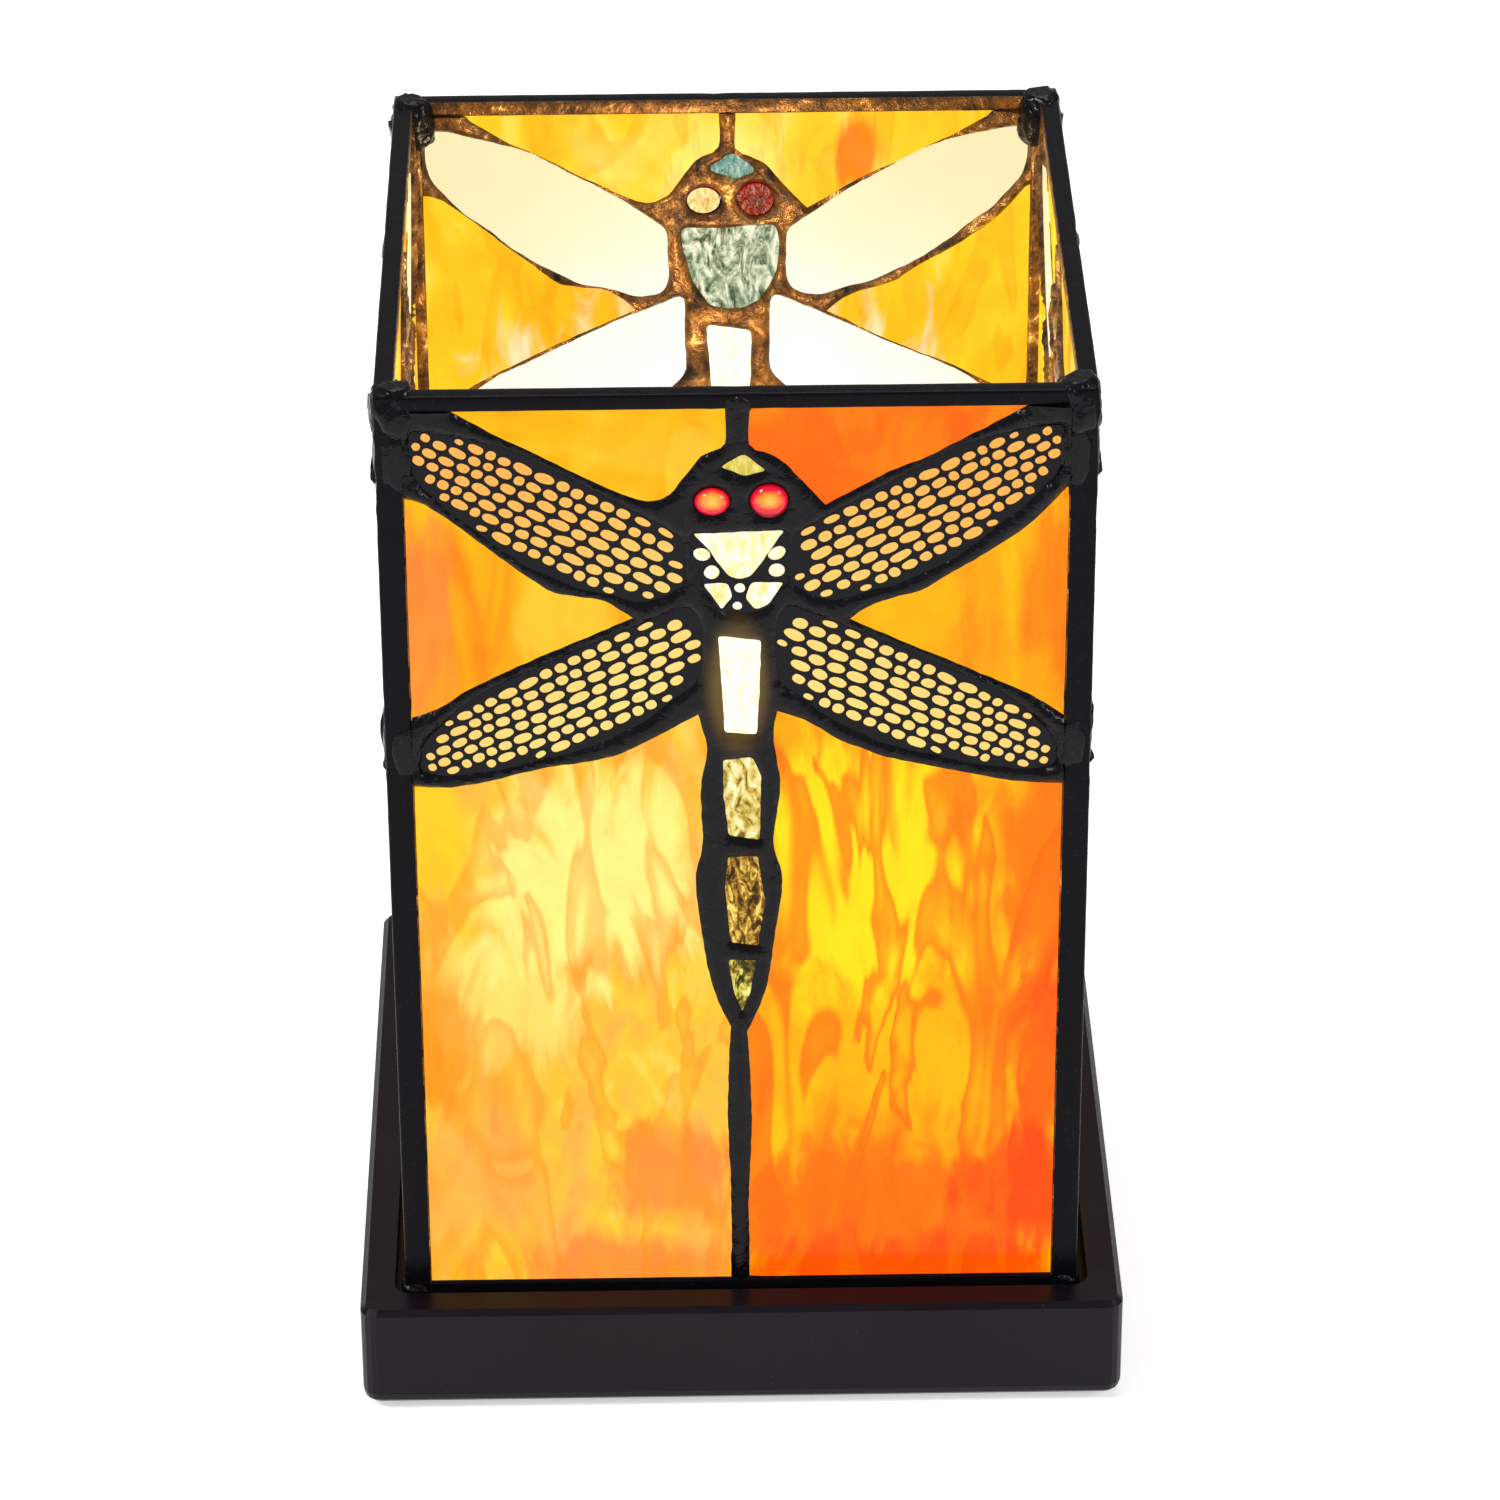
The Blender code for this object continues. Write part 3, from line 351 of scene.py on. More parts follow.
def ripple_glass(name, stops, gain, cell=1.1):
    """Clear glass with a hammered or rippled face that breaks the light into grains and waves."""
    n = Nodes(name)
    waves = n.noise(n.coordinates((cell * 1.3, cell * 3.2, cell * 2), 12, (1, 2, 0)), 1.0, 3.0, 0.6, 1.6)
    grain = n.noise(n.coordinates((cell * 0.4, cell * 0.5, cell), 0, (7, 3, 0)), 1.0, 2.0)
    value = n.math("ADD", n.math("MULTIPLY", waves, 2.4), n.math("MULTIPLY", grain, 0.6))
    value = n.math("SUBTRACT", value, 1.0, clamp=True)
    colour = n.ramp(value, stops)
    glass = n.add("ShaderNodeBsdfPrincipled", {
        "Base Color": n.mix(1.0, colour, srgb(60, 60, 50), "MULTIPLY"), "Roughness": 0.08, "Emission Color": colour,
        "Emission Strength": gain, "Specular IOR Level": 0.12, "Normal": n.bump(waves, 0.7, 0.0006)})
    return n.finish(glass.outputs[0])


def eye_glass(name, bright):
    """A red cabochon with the lamp's light gathered in the upper part of its dome."""
    n = Nodes(name)
    spot = n.distance_to(Vector((0.0, 0.7, 0.4)) * MM, (1.25, 0.9, 1.0))
    value = n.span(spot, 0.5, 3.1, 1.0, 0.0, smooth=False)
    grain = n.noise(n.coordinates((1.2, 1.2, 1.2)), 1.0, 2.0)
    value = n.math("ADD", value, n.math("MULTIPLY", n.math("SUBTRACT", grain, 0.5), 0.2), clamp=True)
    colour = n.ramp(value, [
        (0.0, srgb(120, 0, 24)), (0.25, srgb(214, 4, 44)), (0.44, srgb(240, 24, 44)), (0.58, srgb(250, 120, 44)),
        (0.8, srgb(253, 176, 60)), (1.0, srgb(255, 214, 110))])
    glass = n.add("ShaderNodeBsdfPrincipled", {
        "Base Color": srgb(110, 2, 16), "Roughness": 0.06, "Emission Color": colour, "Emission Strength": bright,
        "Specular IOR Level": 0.4})
    return n.finish(glass.outputs[0])


def patina(name, base=(11, 9, 13), rough=(0.12, 0.32), lumps=1.8, strength=0.5, sheen=0.16, glow=True):
    """Solder and channel under a black patina, with glossy swirls left by the iron. With glow, the solder also carries
    painted light: a warm glow round the first segment of the abdomen.
    """
    n = Nodes(name)
    swirl = n.noise(n.coordinates((5.0, 5.0, 5.0)), 1.0, 2.5, 0.5, 1.8)
    film = n.noise(n.coordinates((1.3, 1.3, 1.3)), 1.0, 2.0, 0.5, 0.6)
    ridge = n.math("ABSOLUTE", n.math("SUBTRACT", swirl, 0.5))
    # lighter grey along thin swirl lines, where the fine film noise is high
    pale_swirl_lines = n.math("MULTIPLY", n.span(ridge, 0.0, 0.02, 1.0, 0.0), n.span(film, 0.50, 0.7))
    colour = n.mix(n.math("MULTIPLY", pale_swirl_lines, 0.35), srgb(*base), srgb(58, 54, 60))
    colour = n.mix(n.span(film, 0.35, 0.75, 0.0, 0.35), colour, srgb(12, 10, 16))
    height = n.math("ADD", n.math("MULTIPLY", swirl, lumps), n.math("MULTIPLY", film, 0.25))
    settings = {
        "Base Color": colour, "Roughness": n.span(film, 0.3, 0.7, *rough), "Metallic": 0.0,
        "Specular IOR Level": sheen, "Normal": n.bump(height, strength, 0.0005)}
    if glow:
        # painted light: the solder round the first segment of the abdomen glows warm, as if the bulb shone through it
        middle = Vector((0, 122, 0)) * MM
        painted_halo = n.span(n.distance_to(middle, (0.42, 1.0, 1.0)), 8, 18, 1.0, 0.0)
        settings["Emission Color"] = n.mix(n.math("MULTIPLY", n.math("POWER", painted_halo, 2.0), 0.14), srgb(0, 0, 0),
                                           srgb(255, 200, 90))
        settings["Emission Strength"] = 1.0
    metal = n.add("ShaderNodeBsdfPrincipled", settings)
    return n.finish(metal.outputs[0])


def warm_metal(name):
    """Copper foil and bright solder on the inside, where no patina was put on. The palest stop of its colour is a
    painted highlight, and its faint glow is painted light from the bulb.
    """
    n = Nodes(name)
    lumps = n.noise(n.coordinates((3.0, 3.0, 3.0)), 1.0, 4.0, 0.6, 1.4)
    stain = n.noise(n.coordinates((6.0, 6.0, 6.0), 0, (4, 4, 4)), 1.0, 4.0, 0.65, 0.5)
    # the last, palest stop is a painted highlight; the others are the copper's own tones
    colour = n.ramp(stain, [
        (0.34, srgb(34, 22, 14)), (0.47, srgb(88, 58, 30)), (0.60, srgb(134, 92, 44)), (0.72, srgb(236, 190, 112))])
    # painted light: a faint warm emission, as if the copper were lit by the bulb
    metal = n.add("ShaderNodeBsdfPrincipled", {
        "Base Color": colour, "Metallic": 0.7, "Roughness": n.span(stain, 0.3, 0.7, 0.5, 0.24),
        "Emission Color": n.mix(1.0, colour, srgb(160, 124, 74), "MULTIPLY"), "Emission Strength": 0.22,
        "Normal": n.bump(lumps, 0.8, 0.0007)})
    return n.finish(metal.outputs[0])


def filigree_metal():
    n = Nodes("filigree_black")
    grain = n.noise(n.coordinates((0.5, 0.5, 0.5)), 1.0, 3.0)
    cloud = n.noise(n.coordinates((6, 6, 6)), 1.0, 3.0, 0.5, 1.0)
    colour = n.mix(cloud, srgb(10, 9, 13), srgb(20, 18, 25))
    metal = n.add("ShaderNodeBsdfPrincipled", {
        "Base Color": colour, "Specular IOR Level": 0.14, "Roughness": n.span(grain, 0.3, 0.7, 0.26, 0.44),
        "Normal": n.bump(grain, 0.15, 0.0001)})
    return n.finish(metal.outputs[0])


def painted_wood():
    """Satin near-black paint over wood, with faint grain, dust specks and rubbed spots."""
    n = Nodes("base_black")
    grain = n.noise(n.coordinates((60, 2.2, 2.2)), 1.0, 4.0, 0.6, 0.4)
    dust = n.noise(n.coordinates((0.8, 0.8, 0.8)), 1.0, 2.0)
    patches = n.noise(n.coordinates((22, 22, 22)), 1.0, 3.0)
    speck = n.math("MULTIPLY", n.span(dust, 0.72, 0.78), n.span(patches, 0.4, 0.7))
    colour = n.mix(patches, srgb(15, 11, 18), srgb(21, 16, 24))
    colour = n.mix(n.math("MULTIPLY", speck, 0.5), colour, srgb(110, 102, 100))
    wood = n.add("ShaderNodeBsdfPrincipled", {
        "Base Color": colour, "Roughness": n.span(grain, 0.3, 0.7, 0.28, 0.34), "Specular IOR Level": 0.15,
        "Normal": n.bump(grain, 0.05, 0.0002)})
    return n.finish(wood.outputs[0])


def plain_metal(name, low, high, rough=0.3):
    n = Nodes(name)
    scratch = n.noise(n.coordinates((0.4, 0.4, 6)), 1.0, 3.0)
    stain = n.noise(n.coordinates((5, 5, 5)), 1.0, 3.0)
    metal = n.add("ShaderNodeBsdfPrincipled", {
        "Base Color": n.mix(stain, srgb(*low), srgb(*high)), "Metallic": 1.0,
        "Roughness": n.span(scratch, 0.3, 0.7, rough, rough + 0.2), "Normal": n.bump(scratch, 0.1, 0.0002)})
    return n.finish(metal.outputs[0])


def moulded(name, low, high, rough=0.5):
    n = Nodes(name)
    grain = n.noise(n.coordinates((0.9, 0.9, 0.9)), 1.0, 3.0)
    cloud = n.noise(n.coordinates((8, 8, 8)), 1.0, 2.0)
    plastic = n.add("ShaderNodeBsdfPrincipled", {
        "Base Color": n.mix(cloud, srgb(*low), srgb(*high)), "Roughness": n.span(grain, 0.3, 0.7, rough, rough + 0.15),
        "Normal": n.bump(grain, 0.2, 0.0002)})
    return n.finish(plastic.outputs[0])


def bulb_glow():
    """The lit bulb: white-hot round its filament and paler towards its neck and tip."""
    n = Nodes("bulb_lit")
    height = n.axis(2)
    away = n.math("ABSOLUTE", n.math("SUBTRACT", height, GLOW_HEIGHT / MM))
    value = n.span(away, 6, 46, 1.0, 0.0)
    cloud = n.noise(n.coordinates((9, 9, 9)), 1.0, 2.0)
    value = n.math("ADD", value, n.math("MULTIPLY", n.math("SUBTRACT", cloud, 0.5), 0.1), clamp=True)
    colour = n.ramp(value, [(0.0, srgb(214, 176, 120)), (0.4, srgb(255, 232, 180)), (1.0, srgb(255, 252, 240))])
    glass = n.add("ShaderNodeBsdfPrincipled", {
        "Base Color": srgb(240, 236, 226), "Roughness": 0.12, "Emission Color": colour, "Emission Strength": 1.3,
        "Coat Weight": 0.8})
    return n.finish(glass.outputs[0])


def glowing_wire():
    n = Nodes("filament_hot")
    colour = n.ramp(n.noise(n.coordinates((3, 3, 3)), 1.0, 2.0), [(0.3, srgb(255, 190, 90)), (0.7, srgb(255, 240, 190))])
    wire = n.add("ShaderNodeBsdfPrincipled", {
        "Base Color": srgb(220, 200, 170), "Roughness": 0.3, "Emission Color": colour, "Emission Strength": 2.0})
    return n.finish(wire.outputs[0])


def floor_paper():
    n = Nodes("floor_paper")
    cloud = n.noise(n.coordinates((200, 200, 200)), 1.0, 2.0)
    paper = n.add("ShaderNodeBsdfPrincipled", {
        "Base Color": n.mix(cloud, srgb(242, 242, 242), srgb(238, 238, 238)), "Roughness": 0.9,
        "Specular IOR Level": 0.1, "Emission Color": n.mix(cloud, srgb(255, 255, 255), srgb(250, 250, 250)),
        "Emission Strength": 0.55})
    return n.finish(paper.outputs[0])


# ---------------------------------------------------------------- flat shapes


def curve_through(points, step=1.2):
    """Points about step apart on a smooth curve through the given ones."""
    if len(points) < 3:
        return list(points)
    padded = [points[0], *points, points[-1]]
    found = [points[0]]
    for i in range(1, len(padded) - 2):
        p0, p1, p2, p3 = (Vector(p) for p in padded[i - 1:i + 3])
        count = max(1, round((p2 - p1).length / step))
        for k in range(1, count + 1):
            t = k / count
            a = 2 * p1 + (p2 - p0) * t + (2 * p0 - 5 * p1 + 4 * p2 - p3) * t * t
            found.append(tuple((a + (3 * p1 - p0 - 3 * p2 + p3) * t ** 3) / 2))
    return found


def rounded(points, radius, step=0.7):
    """A closed outline with each corner rounded."""
    found = []
    count = len(points)
    for i in range(count):
        before, here, after = (Vector(points[(i + k) % count]) for k in (-1, 0, 1))
        cut_in = min(radius, (before - here).length * 0.42, (after - here).length * 0.42)
        start = here + (before - here).normalized() * cut_in
        end = here + (after - here).normalized() * cut_in
        for t in (0.0, 0.33, 0.67, 1.0):
            found.append(tuple(start * (1 - t) ** 2 + here * 2 * t * (1 - t) + end * t * t))
    return resampled(found, step)


def resampled(points, step):
    """A closed outline with extra points so that none of its sides is much longer than step."""
    found = []
    for i, here in enumerate(points):
        after = points[(i + 1) % len(points)]
        length = math.dist(here, after)
        count = max(1, math.ceil(length / step - 0.3))
        found += [tuple(Vector(here).lerp(Vector(after), k / count)) for k in range(count)]
    return found


def signed_area(outline):
    ends = outline[1:] + outline[:1]
    return sum(x0 * y1 - x1 * y0 for (x0, y0), (x1, y1) in zip(outline, ends)) / 2


def grown(outline, distance):
    """The outline moved outwards by distance."""
    if signed_area(outline) < 0:
        outline = outline[::-1]
    moved = []
    for i, here in enumerate(outline):
        before = Vector(here) - Vector(outline[i - 1])
        after = Vector(outline[(i + 1) % len(outline)]) - Vector(here)
        out_before = Vector((before.y, -before.x)).normalized()
        out_after = Vector((after.y, -after.x)).normalized()
        middle = (out_before + out_after).normalized()
        reach = distance / max(middle.dot(out_before), 0.6)
        moved.append((here[0] + middle.x * reach, here[1] + middle.y * reach))
    return moved


def oval(centre, half_width, half_height, turn=0.0, count=16, square=2.0):
    """An oval; a higher square gives it flatter sides."""
    angle = math.radians(turn)
    found = []
    for i in range(count):
        a = 2 * math.pi * i / count
        x = half_width * math.copysign(abs(math.cos(a)) ** (2 / square), math.cos(a))
        y = half_height * math.copysign(abs(math.sin(a)) ** (2 / square), math.sin(a))
        found.append((centre[0] + x * math.cos(angle) - y * math.sin(angle),
                      centre[1] + x * math.sin(angle) + y * math.cos(angle)))
    return found


def inside(points, outline):
    """Which of the points, an N x 2 array, lie inside the outline."""
    x, y = points[:, 0], points[:, 1]
    found = np.zeros(len(points), bool)
    edge = np.array(outline)
    for (x0, y0), (x1, y1) in zip(edge, np.roll(edge, -1, axis=0)):
        if y0 != y1:
            crossing = (y0 > y) != (y1 > y)
            found ^= crossing & (x < (x1 - x0) * (y - y0) / (y1 - y0) + x0)
    return found


def distance_to_segments(points, segments):
    """Each point's distance to the nearest of many short segments, an M x 2 x 2 array."""
    if not len(points):
        return np.zeros(0)
    middles = segments.mean(1)
    tree = KDTree(len(middles))
    for i, (x, y) in enumerate(middles):
        tree.insert((x, y, 0), i)
    tree.balance()
    near = np.array([[i for _, i, _ in tree.find_n((x, y, 0), 4)] for x, y in points])
    start = segments[near, 0]
    along = segments[near, 1] - start
    offset = points[:, None] - start
    t = np.clip((offset * along).sum(2) / np.maximum((along ** 2).sum(2), 1e-12), 0, 1)
    return np.linalg.norm(offset - t[..., None] * along, axis=2).min(1)


def segments_of(outlines):
    pairs = []
    for outline in outlines:
        edge = np.array(outline)
        pairs.append(np.stack([edge, np.roll(edge, -1, axis=0)], axis=1))
    return np.concatenate(pairs)


def triangulated(outer, holes, spacing):
    """Points and triangles that fill outer less the holes, with evenly spread points inside."""
    outlines = [outer, *holes]
    edge_points = [p for outline in outlines for p in outline]
    edges = []
    first = 0
    for outline in outlines:
        count = len(outline)
        edges += [(first + i, first + (i + 1) % count) for i in range(count)]
        first += count
    rim = np.array(edge_points)
    low, high = rim.min(0), rim.max(0)
    rows = np.arange(low[1], high[1], spacing * 0.866)
    grid = [(x + (0.5 * spacing if k % 2 else 0), y) for k, y in enumerate(rows)
            for x in np.arange(low[0], high[0], spacing)]
    grid = np.array(grid)
    keep = inside(grid, outer)
    for hole in holes:
        keep &= ~inside(grid, hole)
    grid = grid[keep]
    grid = grid[distance_to_segments(grid, segments_of(outlines)) > spacing * 0.55]
    every = [Vector(p) for p in edge_points] + [Vector(p) for p in grid]
    points, _, faces, *_ = delaunay_2d_cdt(every, edges, [], 0, 1e-7)
    points = np.array([tuple(p) for p in points])
    faces = np.array(faces)
    middles = points[faces].mean(1)
    keep = inside(middles, outer)
    for hole in holes:
        keep &= ~inside(middles, hole)
    return points, faces[keep]


def plate(name, outer, holes, back, face, spacing=None, relief=None, free=None):
    """A closed plate between the depths back and face, all in millimetres.

    relief gives how far the face stands out at each point, from its distance to the free edges.
    """
    points, faces = triangulated(outer, holes, spacing or 1e9)
    rise = np.zeros(len(points))
    if relief is not None:
        rise = relief(points, distance_to_segments(points, free))
    count = len(points)
    used = np.unique(faces)
    outward = 1 if face > back else -1
    front = np.column_stack([points, face + rise * outward])
    rear = np.column_stack([points, np.full(count, back)])
    order = faces if outward > 0 else faces[:, ::-1]
    pairs = np.concatenate([order[:, [0, 1]], order[:, [1, 2]], order[:, [2, 0]]])
    known = {(a, b) for a, b in pairs.tolist()}
    open_pairs = [(a, b) for a, b in known if (b, a) not in known]
    walls = [(b, a, a + count, b + count) for a, b in sorted(open_pairs)]
    mesh = bpy.data.meshes.new(name)
    vertices = np.concatenate([front, rear]) * MM
    mesh.from_pydata(vertices.tolist(), [], order.tolist() + (order[:, ::-1] + count).tolist() + walls)
    bm = bmesh.new()
    bm.from_mesh(mesh)
    loose = [v for v in bm.verts if not v.link_faces]
    bmesh.ops.delete(bm, geom=loose, context="VERTS")
    signed = bm.calc_volume(signed=True)
    if signed < 0:
        bmesh.ops.reverse_faces(bm, faces=bm.faces)
    bm.to_mesh(mesh)
    bm.free()
    return mesh


# ---------------------------------------------------------------- pieces


def add_piece(name, mesh, materials, body, matrix=None, smooth=40, replaces=()):
    obj = bpy.data.objects.new(name, mesh)
    bpy.context.scene.collection.objects.link(obj)
    mesh.materials.clear()
    for material in materials:
        mesh.materials.append(material)
    if smooth:
        mesh.shade_smooth()
        mesh.set_sharp_from_angle(angle=math.radians(smooth))
    if matrix is not None:
        obj.matrix_world = matrix
    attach(obj, body)
    if replaces:
        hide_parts(*replaces)
    return obj


def two_faced(mesh, outside_index=0, inside_index=1):
    """Faces that look into the lamp take the second material."""
    for face in mesh.polygons:
        face.material_index = inside_index if face.normal.z < -0.5 else outside_index


def on_wing(wing, hand, along, across):
    """A place on a wing as a place on the panel, as if the wing were on the right."""
    (x, y), slope, *_ = WING_FRAMES[wing, hand]
    angle = math.radians(slope)
    return (x + along * math.cos(angle) - across * math.sin(angle),
            y + along * math.sin(angle) + across * math.cos(angle))


class Panel:
    """One side of the shade: its place, and the pattern bent a little by hand."""

    def __init__(self, side, turn):
        self.side = side
        angle = math.radians(turn)
        outward = Vector((math.sin(angle), -math.cos(angle), 0))
        place = outward * HALF + Vector((0, 0, OPENING_FLOOR))
        self.matrix = Matrix.Translation(place) @ Matrix.Rotation(angle, 4, "Z") @ Matrix.Rotation(math.pi / 2, 4, "X")
        self.seed = 3.1 + turn / 40
        self.flip = -1 if side in ("back", "left") else 1
        self.half = OPENING_HALF / MM
        self.height = OPENING_HEIGHT / MM

    def bent(self, outline):
        """The outline at its place in this panel, with the small errors of hand cutting."""
        found = []
        for x, y in outline:
            drift = noise.noise_vector(Vector((x * 0.09, y * 0.09, self.seed)))
            shake = noise.noise_vector(Vector((x * 0.5, y * 0.5, self.seed + 9)))
            from_ends = max(0.0, min(1.0, y / 4, (self.height - y) / 4))
            size = max(0.0, min(from_ends, (self.half - abs(x)) / 4))
            amount = 0.14 if self.side == "front" else 0.5
            found.append((self.flip * (x + size * (amount * drift.x + 0.14 * shake.x)),
                          y + size * (amount * drift.y + 0.14 * shake.y) - PATTERN_DROP * from_ends))
        return found

    def edge(self, hand, name):
        sign = SIDES[hand]
        return [(sign * x, y) for x, y in curve_through(EDGES[hand][name])]

    def background(self):
        found = {}
        for hand, sign in SIDES.items():
            top = self.edge(hand, "head") + self.edge(hand, "upper_top")[1:]
            middle = self.edge(hand, "upper_bottom") + self.edge(hand, "lower_top")[1:]
            low = self.edge(hand, "lower_bottom") + self.edge(hand, "abdomen")[1:] + self.edge(hand, "tail")[1:]
            low.append((sign * self.half, 0.0))
            found[f"top_{hand}"] = self.bent(resampled(top, 3.0))
            found[f"middle_{hand}"] = self.bent(resampled(middle, 3.0))
            found[f"lower_{hand}"] = self.bent(resampled(low, 3.0))
        return found

    def silhouette(self):
        right, left = [], []
        for half, hand in ((right, "right"), (left, "left")):
            for name in ("head", "upper_top"):
                half += self.edge(hand, name)
            half.append((SIDES[hand] * self.half, self.height))
            for name in ("upper_bottom", "lower_top", "lower_bottom", "abdomen", "tail"):
                half += self.edge(hand, name)
        whole = right + left[::-1]
        tidy = [p for i, p in enumerate(whole) if math.dist(p, whole[i - 1]) > 0.05]
        return self.bent(resampled(tidy, 0.8))

    def openings(self, place="outside"):
        found = {}
        for (wing, hand), (*_, root, inner_root) in WING_FRAMES.items():
            start = inner_root if place == "inside" else root
            outline = [on_wing(wing, hand, along, across) for along, across in WING_SHEET]
            outline = [(SIDES[hand] * min(max(x, start), WING_TIP), y) for x, y in outline]
            found[f"wing_{wing}_{hand}"] = rounded(outline, 1.6)
        for hand in SIDES:
            centre, half_width, half_height = EYES[hand]
            found[f"eye_{hand}"] = oval(centre, half_width, half_height, count=24)
        found["head"] = rounded(HEAD_OPENING, 0.8)
        found["thorax"] = rounded(THORAX_OPENING, 0.9)
        for number, outline in enumerate(ABDOMEN_OPENINGS, 1):
            found[f"abdomen_{number}"] = rounded(outline, 0.6)
        return {name: self.bent(outline) for name, outline in found.items()}

    def shrunk(self, outline, distance):
        """The outline moved inwards, except where it meets the frame."""
        found = []
        if signed_area(outline) < 0:
            outline = outline[::-1]
        for (x, y), (new_x, new_y) in zip(outline, grown(outline, -distance)):
            at_side = self.half - abs(x) < 0.4
            at_end = min(y, self.height - y) < 0.4
            found.append((x if at_side else new_x, y if at_end else new_y))
        return found

    def free_segments(self, outlines):
        """The metal's edges against glass, without those against the frame."""
        pairs = segments_of(outlines)
        near = 0.4
        at_side = (np.abs(np.abs(pairs[:, :, 0]) - self.half) < near).all(1)
        at_end = ((pairs[:, :, 1] < near) | (pairs[:, :, 1] > self.height - near)).all(1)
        return pairs[~(at_side | at_end)]


def bead(points, gap, seed, height, width, lump, corner):
    """How far solder stands up: a rounded bead from its free edge, with lumps and swellings at the frame."""
    t = np.clip(gap / width, 0, 1)
    rise = BEAD_EDGE + height * np.sin(t * math.pi / 2)
    found = np.empty(len(points))
    for i, (x, y) in enumerate(points):
        big = noise.noise(Vector((x * 0.16, y * 0.16, seed)))
        small = noise.noise(Vector((x * 0.55, y * 0.55, seed + 5)))
        edge = max(0.0, 1 - (OPENING_HALF / MM - abs(x)) / 6) if y > 95 else 0.0
        found[i] = rise[i] * (1 + lump * big + 0.5 * lump * small) + t[i] * corner * edge * (1.1 + big)
    return found


def make_leading(panel, outside_look, inside_look):
    """Solder outside and narrower copper foil lines inside, back to back in the middle of the glass."""
    for place, depth, look, sizes in (
        ("outside", GLASS_FACE / MM, outside_look, (0.75, 1.7, 0.25, 0.55)),
        ("inside", GLASS_BACK / MM, inside_look, (0.9, 0.9, 0.5, 0.4)),
    ):
        outer = panel.silhouette()
        openings = list(panel.openings(place).values())
        if place == "inside":
            outer = panel.shrunk(outer, FOIL_INSET)
            openings = [grown(outline, FOIL_INSET) for outline in openings]
        free = panel.free_segments([outer, *openings])
        seed = panel.seed + (20 if place == "inside" else 0)
        mesh = plate(
            f"{panel.side}_leading_{place}", outer, openings, MID_DEPTH / MM, depth, 0.75,
            lambda points, gap: bead(points, gap, seed, *sizes), free)
        add_piece(mesh.name, mesh, [look], "shade", panel.matrix, 50,
                  [f"{panel.side}_leading"])


def make_panes(panel):
    side = panel.side
    back, face = GLASS_BACK / MM, GLASS_FACE / MM
    shared = [] if side == "front" else [f"{side}_glass"]
    shapes = {**panel.background(), **panel.openings()}
    for place, outline in shapes.items():
        if place.startswith("eye"):
            continue
        looks = pane_looks(side, place)
        mesh = plate(f"{side}_pane_{place}", grown(outline, 0.5), [], back, face)
        kind = "wing_glass" if "wing" in place else "amber_glass"
        if place.startswith(("head", "thorax", "abdomen")):
            kind = "ripple_glass"
        two_faced(mesh)
        obj = add_piece(mesh.name, mesh, looks, "shade", panel.matrix, 30,
                        [f"front_glass_{place}"] if side == "front" else shared)
        two_faced(obj.data)


def make_eyes(panel):
    for hand in SIDES:
        centre, half_width, half_height = EYES[hand]
        centre = panel.bent([centre])[0]
        bm = bmesh.new()
        rings, sides = 7, 28
        depth, dome = GLASS_BACK / MM, 1.9
        levels = [(depth, 1.06), (GLASS_FACE / MM, 1.06)]
        for i in range(1, rings):
            a = i / rings * math.pi / 2
            levels.append((GLASS_FACE / MM + dome * math.sin(a), 1.06 * math.cos(a)))
        loops = []
        for z, share in levels:
            loops.append([bm.verts.new((half_width * share * math.cos(2 * math.pi * k / sides) * MM,
                                        half_height * share * math.sin(2 * math.pi * k / sides) * MM, z * MM))
                          for k in range(sides)])
        for low, high in zip(loops, loops[1:]):
            for k in range(sides):
                bm.faces.new((low[k], low[(k + 1) % sides], high[(k + 1) % sides], high[k]))
        bm.faces.new(loops[0][::-1])
        tip = bm.verts.new((0, 0, (GLASS_FACE / MM + dome) * MM))
        for k in range(sides):
            bm.faces.new((loops[-1][k], loops[-1][(k + 1) % sides], tip))
        mesh = bpy.data.meshes.new(f"{panel.side}_cabochon_{hand}")
        bm.to_mesh(mesh)
        bm.free()
        place = panel.matrix @ Matrix.Translation((centre[0] * MM, centre[1] * MM, 0))
        nodes = [f"front_eye_{hand}"] if panel.side == "front" else [f"{panel.side}_glass"]
        two_faced(mesh)
        obj = add_piece(mesh.name, mesh, [EYE_LOOK, EYE_BACKS[hand]], "shade", place, 50, nodes)
        two_faced(obj.data)


def wing_holes():
    """Each hole of a wing: its place along and across, length, width and turn. All the wings share them."""
    draw = random.Random(5)
    for row in range(HOLE_ROWS):
        along = draw.uniform(-2.0, 0.5)
        while along < WING_LENGTH:
            near_root = 1 - max(along, 0.0) / WING_LENGTH
            length = draw.uniform(*HOLE_LENGTHS) * (0.62 + 0.38 * near_root)
            step = ROW_STEP * (0.84 + 0.16 * near_root)
            across = (FIRST_ROW / ROW_STEP - row) * step + draw.uniform(-0.1, 0.1)
            yield along + length / 2, across, length, step * draw.uniform(*HOLE_WIDTHS), draw.uniform(-6, 6)
            along += length + HOLE_WEB


def fitted_hole(panel, wing, hand, hole, sheet, guard):
    """The outline of a hole at the largest size that its sheet leaves room for, or nothing."""
    along, across, length, width, turn = hole
    turn += WING_FRAMES[wing, hand][1]
    for size in FIT_SIZES:
        outline = oval(on_wing(wing, hand, along, across), size * length / 2, size * width / 2, turn, 14, 2.3)
        outline = panel.bent([(SIDES[hand] * x, y) for x, y in outline])
        spots = np.array(outline)
        if inside(spots, sheet).all() and distance_to_segments(spots, guard).min() > 0.12:
            return outline
    return None


